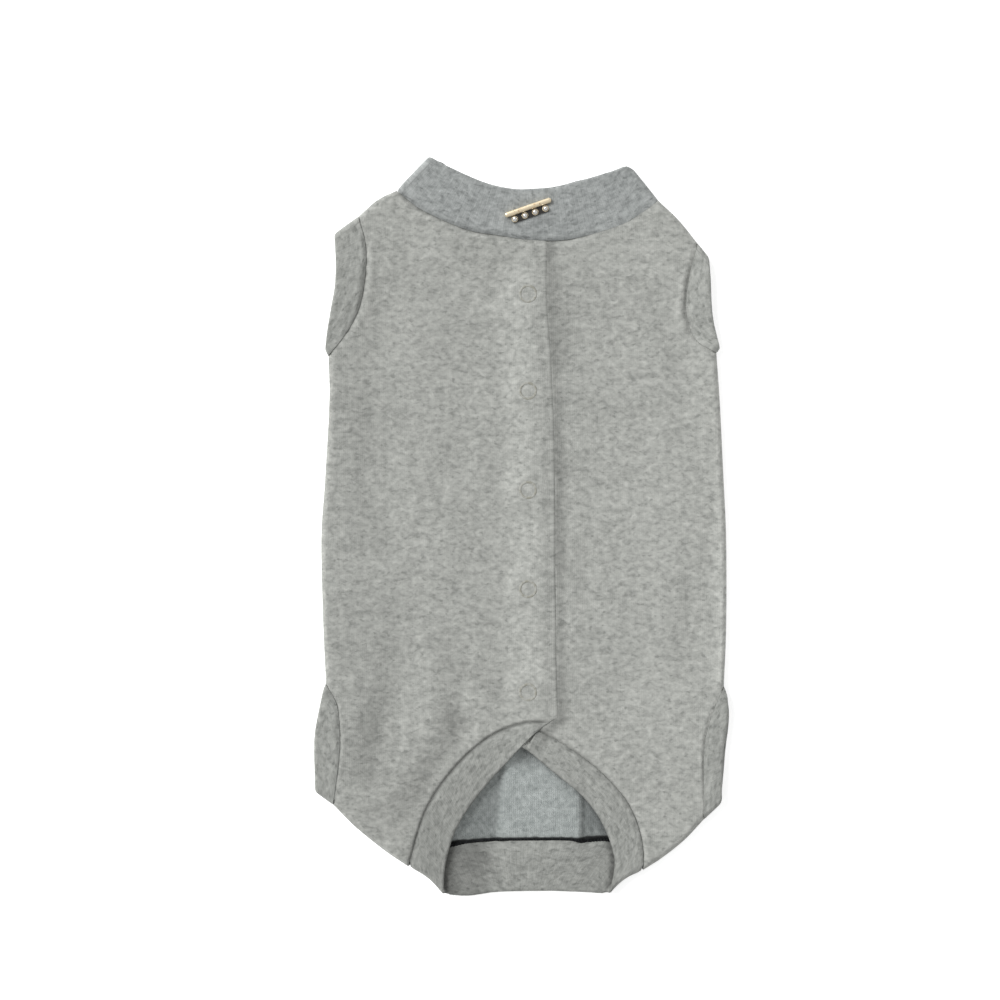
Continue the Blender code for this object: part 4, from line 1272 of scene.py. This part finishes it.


# Painted shades of the collar and of the rear band: how much darker, and where (below zero paints light)
bandPaintedShades = {
    # painted shade over the collar's back half, and a painted shadow under the bar
    "collar back": 0.45,
    "under the bar": (0.09, (8.0, 150.0), (15.0, 8.0)),
    "rear back": 0.04,
    "rear corner": (0.55, 0.2, 1.9),    # along the right front's free edge, but only in the corner
    "cornerFrom": (-146.0, -6.0),
    "left end": (0.38, -10.0, -13.0),
    # this share of it, and how much less near the fold
    "near the fold": (1.12, 0.38, (-162.0, -18.0), (-36.0, 8.0)),
    "right end": (0.06, 24.0, 6.0),
    "right rim": (0.34, 0.10, 1.1),     # the right front's free edge itself, and more in the corner
    "rimFrom": (-2.0, 4.0),
    "left front": (0.06, -2.0, -8.0),
    # painted shade under the placket's end, and painted light at two places
    "front spots": [(0.15, (9.0, -106.5), (5.0, 4.0)), (-0.07, (-11.0, -117.0), (7.0, 5.0)),
                    (-0.02, (50.0, -142.0), (9.0, 12.0))],
}


def shadeStep(name, x):
    amount, start, width = bandPaintedShades[name]
    return amount * rise(x, start, width)


def collarPaintedShade(x, y, z):
    # Painted shade over the collar's back half, and a painted shadow under the bar.
    amount, at, size = bandPaintedShades["under the bar"]
    return 1.0 - bandPaintedShades["collar back"] * onBackHalf(z) - amount * spot(x, y, at, size)


def rearPaintedShade(x, y, z):
    # Painted shade of the rear band in its corners, at its ends and along the right front's free edge, and
    # painted light at two places.
    rows = sorted((row[3], row[2]) for row in rearCut["right"])
    edge = np.interp(y, [r[0] for r in rows], [r[1] for r in rows])
    low = rise(y, *bandPaintedShades["cornerFrom"])
    amount, away, width = bandPaintedShades["rear corner"]
    corner = amount * hump(x - edge, away, width)
    most, less, down, across = bandPaintedShades["near the fold"]
    leftEnd = (most - less * rise(y, *down) * rise(x, *across)) * shadeStep("left end", x)
    backHalf = onBackHalf(z)
    tone = 1.0 - backHalf * (bandPaintedShades["rear back"] + low * corner + leftEnd + shadeStep("right end", x))
    amount, more, width = bandPaintedShades["right rim"]
    rim = (amount + more * low) * hump(x, edge, width) * rise(x, *bandPaintedShades["rimFrom"])
    spots = sum(amount * spot(x, y, at, size) for amount, at, size in bandPaintedShades["front spots"])
    front = 1.0 - shadeStep("left front", x) - spots
    return tone * (1.0 - (1.0 - backHalf) * rim) * (backHalf + (1.0 - backHalf) * front)


def ringSections(front, behind, top):
    # A whole band pressed flat: its front, a fold, its back, a fold.
    floor = np.full(2, cloth["bandWall"] / 2)
    heights = [wallMiddle(top, line) for line in front]
    flat = len(front[0])

    def pick(lines, k):
        return [line[k] for line in lines]

    frontPart = flatSections(front[0][1:-1], front[1][1:-1], heights[0][1:-1], heights[1][1:-1], 1)
    backPart = flatSections(behind[0][1:-1], behind[1][1:-1], *[np.full(flat - 2, f) for f in floor], -1)
    atEnd = foldSections(pick(front, -2), pick(behind, -2), pick(front, -1), pick(heights, -2), floor)
    atStart = foldSections(pick(front, 1), pick(behind, 1), pick(front, 0), pick(heights, 1), floor)
    return joined(frontPart, atEnd, backwards(backPart), backwards(atStart))


def bandLine(points, count):
    # Points along a band's edge: its two folds, and even ones between where the cloth begins to turn.
    length = lengthOf(points)
    turn = cloth["rollRadius"]
    return along(points, np.concatenate([[0.0], np.linspace(turn, length - turn, count), [length]]))


def makeHoleBands():
    made = {}
    for number, stretch in enumerate(holeEdge):
        for side, sideName, top in ((-1, "left", leftTop), (1, "right", rightTop)):
            seamPoints = stretchLine(bodyCut, side, stretch)
            count = int(lengthOf(seamPoints) / bands["step"])
            seam = shifted(bandLine(seamPoints, count), side * cloth["seamGap"] / 2)
            free = bandLine(stretchLine(holeEdge, side, stretch), count)
            node = stretch + "_band_" + sideName
            inward = bands["peeks"].get(node, 0.0) * np.sin(np.linspace(0.0, math.pi, len(free))) ** 0.7
            frontFree = free - side * np.column_stack([inward, np.zeros(len(free))])
            sections = ringSections((seam, frontFree), (seam, free), top)
            depths = np.full(len(sections[0]), seamDepth(stretch, 0.0))
            depths[:count - 2] = seamDepth(stretch, np.linspace(0.0, 1.0, count - 2))
            tones, shade = seamPaintedShades[stretch] * depths, plainTone(bands["tones"][node])
            seed = 1.0 + 2 * number + (side > 0)
            band = makeBand("rib_" + node, sections, True, seed, tones, shade, ribKnit, depths)
            made[node] = place(band, "marl_rib", node)
    return made


def makeCollar():
    seamPoints, freePoints = seamOf(collarCut), freeOf(collarCut)
    count = int(lengthOf(seamPoints) / bands["step"])
    seam = shifted(bandLine(seamPoints, count), cloth["seamGap"] / 2)
    free = bandLine(freePoints, count)
    x = free[:, 0]
    drop = bands["collarBackDrop"] * np.sin(np.linspace(0.0, math.pi, len(free)))
    for amount, first, last in bands["collarPeeks"]:
        drop = drop - amount * rise(x, *first) * rise(x, *last)
    backFree = free - np.column_stack([np.zeros(len(free)), drop])
    sections = ringSections((seam, free), (seam, backFree), collarTop)
    depths = fadedSeam("neck", sections[0][:, 0])
    tones = seamPaintedShades["neck"] * depths
    return makeBand("rib_collar", sections, True, 5.0, tones, collarPaintedShade, collarKnit, depths)


def makeRearBand():
    # One strip of rib, from the placket down the left front, across the back and up the right front.
    turn, gap = cloth["rollRadius"], cloth["seamGap"]
    rows = rearCut["back"]
    count = int(lengthOf(seamOf(rows)) / bands["step"])
    backSeam, backFree = bandLine(seamOf(rows), count), bandLine(freeOf(rows), count)
    backSeam = shifted(backSeam, -gap / 2)
    lifted = pleat["bandShare"] * ridge(backSeam[:, 0], backSeam[:, 1])
    smoothed = 31
    backZ = cloth["bandWall"] / 2 + np.convolve(lifted, np.full(smoothed, 1 / smoothed), "same")
    floor = np.full(2, cloth["bandWall"] / 2)
    parts = {}
    for side, label, top in ((-1, "left", leftTop), (1, "right", rightTop)):
        rows = rearCut[label]
        count = int(lengthOf(seamOf(rows)) / bands["step"])
        lines = []
        for points in (seamOf(rows), freeOf(rows)):
            length = lengthOf(points)
            lines.append(along(points, np.append(np.linspace(0.0, length - turn, count), length)))
        seam, free = shifted(lines[0], -side * gap / 2), lines[1]
        seamZ, freeZ = wallMiddle(top, seam), wallMiddle(top, free)
        if side < 0:
            sag, start, over = bands["rearSag"]
            freeZ = freeZ - sag * rise(free[:, 0], start, over)
        flat = flatSections(seam[:-1], free[:-1], seamZ[:-1], freeZ[:-1], 1)
        k = 1 if side < 0 else -2
        fold = foldSections((seam[-2], free[-2]), (backSeam[k], backFree[k]), (seam[-1], free[-1]),
                            (seamZ[-2], freeZ[-2]), floor, bands["rearClearance"])
        parts[label] = joined(flat, fold)
    backFreeZ = np.full(len(backZ) - 2, floor[0])
    parts["back"] = flatSections(backSeam[1:-1], backFree[1:-1], backZ[1:-1], backFreeZ, -1)
    tones = np.concatenate([np.full(len(parts[label][0]), seamPaintedShades["rear " + label])
                            for label in ("left", "back", "right")])
    sections = joined(parts["left"], parts["back"], backwards(parts["right"]))
    depths = np.ones(len(tones))
    depths[:len(parts["left"][0])] = fadedSeam("rear left", parts["left"][0][:, 0])
    # the folds at both corners are drawn in
    middle = (sections[0] + sections[1])[:, :2] / 2
    bows = np.zeros((len(middle), 3))
    for row, amount, inward in bands["rearBows"]:
        end = np.array(rearCut["back"][row]).reshape(2, 2).mean(axis=0)
        drawn = amount * smoothstep(1.0 - np.linalg.norm(middle - end, axis=1) / bands["bowReach"])
        bows += drawn[:, None] * np.array([inward, bands["bowUp"], 0.0])
    return makeBand("rib_rear_band", sections, False, 6.0, tones * depths, rearPaintedShade, ribKnit,
                    bands["rearRelief"] * depths, bows, bands["rearDitch"], bands["tip"][0])


bandPieces = makeHoleBands()
bandPieces["collar"] = place(makeCollar(), "marl_rib", "collar")
bandPieces["rear_band"] = place(makeRearBand(), "marl_rib", "rear_band")

print("overlock thread and shadow")

thread = {
    "from": -43.0,
    "to": 46.0,
    "stitch": 1.6,
    "sides": 6,
    "stepsInStitch": 12,
    "radius": 0.33,
    "amplitude": 0.20,
    "uneven": 0.25,
    "slant": 0.25,
    "wider": 3.4,           # it swings wider by this share towards both ends
    "widerFrom": (24.0, 10.0),
    "shift": -0.4,
    "dip": (-0.45, 30.0, 3.5),      # one place where it runs lower down: how much, x, half width
    "level": 1.2,
    "rise": 0.42,
    "riseAtEnds": 0.8,
    "lifts": ((0.5, 30.0, 2.5), (0.4, -18.0, 8.0)),     # two places where it stands higher, in the same way
    # strands that swing: how late, how wide, how often they bob in a stitch, and how high
    "swinging": ((0.0, 1.0, 2, 0.12), (2.6, 0.8, 1, 0.16)),
    "straights": (-0.6, 0.0, 0.6),  # strands beside them that don't
    "straightDrop": 0.12,
    "coverDrop": 0.25,      # and one that lies right over the seam's gap
}


def makeThread():
    # The near-black chain of overlock stitches along the inside of the rear seam, as a tube that zigzags over
    # it. Its near-black colour stands in for the shadow in the seam's crevice as well.
    points = seamOf(rearCut["back"])
    length = lengthOf(points)
    seam = along(points, np.linspace(0.0, length, 900))
    seam = seam[(seam[:, 0] > thread["from"]) & (seam[:, 0] < thread["to"])]
    run = runOf(seam)
    at = np.arange(0.0, run[-1], thread["stitch"] / thread["stepsInStitch"])
    x, y = (np.interp(at, run, seam[:, k]) for k in range(2))
    phase = 2 * math.pi * at / thread["stitch"]
    ends = rise(np.abs(x), *thread["widerFrom"])
    swing = thread["amplitude"] * (1.0 + thread["uneven"] * ripple(at, 2.0) + thread["wider"] * ends)
    dip, middle, width = thread["dip"]
    shift = thread["shift"] + dip * hump(x, middle, width)
    lifted = ridge(x, y)
    level = thread["level"] + (1.0 + pleat["bandShare"]) / 2 * lifted + thread["rise"]
    level += (thread["riseAtEnds"] - thread["rise"]) * (1.0 - lifted / pleat["height"])
    level += sum(height * hump(x, middle, width) for height, middle, width in thread["lifts"])
    straight = np.zeros(len(phase))
    bends = [(np.sin(phase + late) * wide, np.cos(often * phase) * high)
             for late, wide, often, high in thread["swinging"]]
    bends += [(straight + across, straight - thread["straightDrop"]) for across in thread["straights"]]
    bends.append((-shift / swing, straight - thread["coverDrop"]))
    sides = thread["sides"]
    angles = [2 * math.pi * k / sides for k in range(sides)]
    mesh = bmesh.new()
    for across, up in bends:
        slanted = x + thread["slant"] * np.cos(phase)
        centre = np.column_stack([slanted, y + shift + swing * across, level + up])
        ahead = np.gradient(centre, axis=0)
        ahead /= np.linalg.norm(ahead, axis=1)[:, None]
        side = np.cross(ahead, (0.0, 0.0, 1.0))
        side /= np.linalg.norm(side, axis=1)[:, None]
        over = np.cross(side, ahead)
        rings = []
        for c, s, o in zip(centre, side, over):
            ring = [c + thread["radius"] * (math.cos(a) * s + math.sin(a) * o) for a in angles]
            rings.append([mesh.verts.new(p * mm) for p in ring])
        for first, second in zip(rings, rings[1:]):
            for k in range(sides):
                mesh.faces.new((first[k], second[k], second[k + 1 - sides], first[k + 1 - sides]))
        mesh.faces.new(rings[0])
        mesh.faces.new(rings[-1][::-1])
    bmesh.ops.recalc_face_normals(mesh, faces=mesh.faces)
    return fromBmesh("overlock_thread", mesh, threadAndShadowBlack)


threadPiece = place(makeThread(), "marl_rib")

print("metal")


def addTurned(mesh, profile, centre, steps=48):
    # Adds a round form to the mesh, from a profile of radius and height.
    cx, cy, cz = centre
    loop = [mesh.verts.new(((cx + r) * mm, cy * mm, (cz + z) * mm)) for r, z in profile]
    edges = [mesh.edges.new(pair) for pair in zip(loop, loop[1:])]
    bmesh.ops.spin(mesh, geom=loop + edges, cent=(cx * mm, cy * mm, 0.0), axis=(0.0, 0.0, 1.0),
                   angle=2 * math.pi, steps=steps, use_merge=True)
    bmesh.ops.remove_doubles(mesh, verts=mesh.verts, dist=0.000001)
    bmesh.ops.recalc_face_normals(mesh, faces=mesh.faces)


def makeSnapRing(number, snapY):
    # The open ring of a snap, round on top, as it stands on the cloth.
    inner, outer, height = snaps["inner"], snaps["outer"], snaps["height"]
    middle, half = (inner + outer) / 2, (outer - inner) / 2
    foot = snaps["footHeight"]
    angles = np.linspace(0, math.pi, 11)
    arch = [(middle + half * math.cos(a), foot + (height - foot) * math.sin(a)) for a in angles]
    mesh = bmesh.new()
    addTurned(mesh, [(outer, 0.0)] + arch + [(inner, 0.0), (outer, 0.0)], (snaps["x"], snapY, ringZ))
    return place(fromBmesh("ring_%d" % number, mesh, snapEnamel), "snap_metal", "snap_ring_%d" % number)


for number, snapY in enumerate(snaps["ys"], 1):
    makeSnapRing(number, snapY)
    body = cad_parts["snap_body_%d" % number]
    body.data.materials.clear()
    body.data.materials.append(snapBrass)

ornament = {
    "centre": (3.0, 159.0),
    "tilt": 19.0,
    "bar": (24.5, 2.6, 1.9),
    "roundEnds": 0.48,      # radii of the bar's ends and of its top edge, as shares of its width
    "roundTop": 0.4,
    "seat": 7.1,
    "studs": 4,
    "studRadius": 1.6,
    "studHeight": 1.7,
    "domeShare": 0.84,      # radius of the dome and of the cup's mouth, as shares of the stud's
    "domeFoot": 0.35,
    "mouthShare": 0.94,
    "mouthHeight": 0.40,
    "cupHeight": 0.3,
    "pitch": 5.4,
    "gap": 0.3,
    "plate": 0.3,
    "plateWidth": 4.0,
    "platePast": 2.2,       # the plate runs on past the studs by this much, and in under the bar
    "plateUnder": 0.6,
}


def ornamentPlace(run, below):
    # A place in plan, by how far along the bar and how far below it.
    tilt = math.radians(ornament["tilt"])
    cos, sin = math.cos(tilt), math.sin(tilt)
    x, y = ornament["centre"]
    return x + run * cos + below * sin, y + run * sin - below * cos


def makeBar():
    # A slim domed rail with round ends, over a thin near-black plate that carries the studs and stands in for
    # the shadow between and below them.
    length, width, height = ornament["bar"]
    mesh = bmesh.new()
    bmesh.ops.create_cube(mesh, size=1.0)
    bmesh.ops.scale(mesh, vec=(length * mm, width * mm, height * mm), verts=mesh.verts)
    upright = [e for e in mesh.edges if abs(e.verts[0].co.z - e.verts[1].co.z) > 0.5 * height * mm]
    rounded = partial(bmesh.ops.bevel, mesh, profile=0.5, affect="EDGES")
    rounded(geom=upright, offset=ornament["roundEnds"] * width * mm, segments=8)
    rims = [e for e in mesh.edges if min(v.co.z for v in e.verts) > 0.49 * height * mm]
    rounded(geom=rims, offset=ornament["roundTop"] * width * mm, segments=7)
    plateLength = ornament["pitch"] * (ornament["studs"] - 1) + ornament["platePast"]
    plateWidth, thin = ornament["plateWidth"], ornament["plate"]
    plate = bmesh.ops.create_cube(mesh, size=1.0)["verts"]
    bmesh.ops.scale(mesh, vec=(plateLength * mm, plateWidth * mm, thin * mm), verts=plate)
    drop = (0.0, -(width + plateWidth - ornament["plateUnder"]) / 2 * mm, (thin - height) / 2 * mm)
    bmesh.ops.translate(mesh, vec=drop, verts=plate)
    for face in {f for v in plate for f in v.link_faces}:
        face.material_index = 1
    bar = fromBmesh("ornament_bar", mesh, goldTone, darkPlateAndShadow)
    x, y = ornament["centre"]
    bar.location = (x * mm, y * mm, (ornament["seat"] + height / 2) * mm)
    bar.rotation_euler.z = math.radians(ornament["tilt"])
    return place(bar, "gold_metal", "collar_bar")


def makeStud(number):
    # A silvery dome in a low gold cup.
    radius, height = ornament["studRadius"], ornament["studHeight"]
    below = ornament["bar"][1] / 2 + radius + ornament["gap"]
    run = (number - 1 - (ornament["studs"] - 1) / 2) * ornament["pitch"]
    centre = (*ornamentPlace(run, below), ornament["seat"])
    foot, wide = ornament["domeFoot"], ornament["domeShare"] * radius
    angles = np.linspace(0, math.pi / 2, 9)
    dome = [(wide * math.sin(a), foot + (height - foot) * math.cos(a)) for a in angles]
    mouth = (ornament["mouthShare"] * radius, ornament["mouthHeight"])
    cup = [mouth, (radius, ornament["cupHeight"]), (radius, 0.0), (0.0, 0.0)]
    mesh = bmesh.new()
    addTurned(mesh, dome + cup, centre)
    for face in mesh.faces:
        above = face.calc_center_median().z > (ornament["seat"] + ornament["mouthHeight"]) * mm
        face.material_index = 0 if above else 1
    stud = fromBmesh("ornament_stud_%d" % number, mesh, silverTone, goldTone)
    return place(stud, "gold_metal", "collar_stud_%d" % number)


makeBar()
for number in range(1, ornament["studs"] + 1):
    makeStud(number)

print("floor, light and camera")

# Lengths in metres here
stage = {
    "floorSize": 8.0,
    "floorDrop": -0.0002,
    "floorGlow": 0.55,      # a lit table, which thins shadows
    "world": 0.52,
    "sun": 3.15,
    "sunFrom": (-0.80, 0.55, 0.78),
    "sunSpread": 32.0,
    "viewCentre": (-0.011, 0.013),
    "lens": 85.0,
    "frameWidth": 0.5,
    "garmentTop": 0.006,
}


def makeStage():
    size = stage["floorSize"]
    data = bpy.data.meshes.new("floor")
    corners = [(-size, -size, 0.0), (size, -size, 0.0), (size, size, 0.0), (-size, size, 0.0)]
    data.from_pydata(corners, [], [(0, 1, 2, 3)])
    floor = linked("floor", data)
    floor.location.z = stage["floorDrop"]
    data.materials.append(paleFloor)
    surface = paleFloor.node_tree.nodes["Principled BSDF"]
    surface.inputs["Emission Color"].default_value = (1.0, 1.0, 1.0, 1.0)
    surface.inputs["Emission Strength"].default_value = stage["floorGlow"]
    world = bpy.data.worlds.new("soft room")
    world.use_nodes = True
    background = world.node_tree.nodes["Background"]
    background.inputs["Color"].default_value = (1.0, 1.0, 1.0, 1.0)
    background.inputs["Strength"].default_value = stage["world"]
    bpy.context.scene.world = world
    lamp = bpy.data.lights.new("soft_window", "SUN")
    lamp.energy = stage["sun"]
    lamp.angle = math.radians(stage["sunSpread"])
    aim = Vector(stage["sunFrom"]).to_track_quat("Z", "Y")
    linked("soft_window", lamp).rotation_euler = aim.to_euler()
    lens = bpy.data.cameras.new("overhead")
    lens.lens = stage["lens"]
    lens.sensor_width = 36.0
    lens.clip_end = 20.0
    camera = linked("overhead", lens)
    height = stage["frameWidth"] * stage["lens"] / lens.sensor_width
    camera.location = (*stage["viewCentre"], height + stage["garmentTop"])
    bpy.context.scene.camera = camera
    bpy.context.scene.view_settings.view_transform = "Standard"


makeStage()
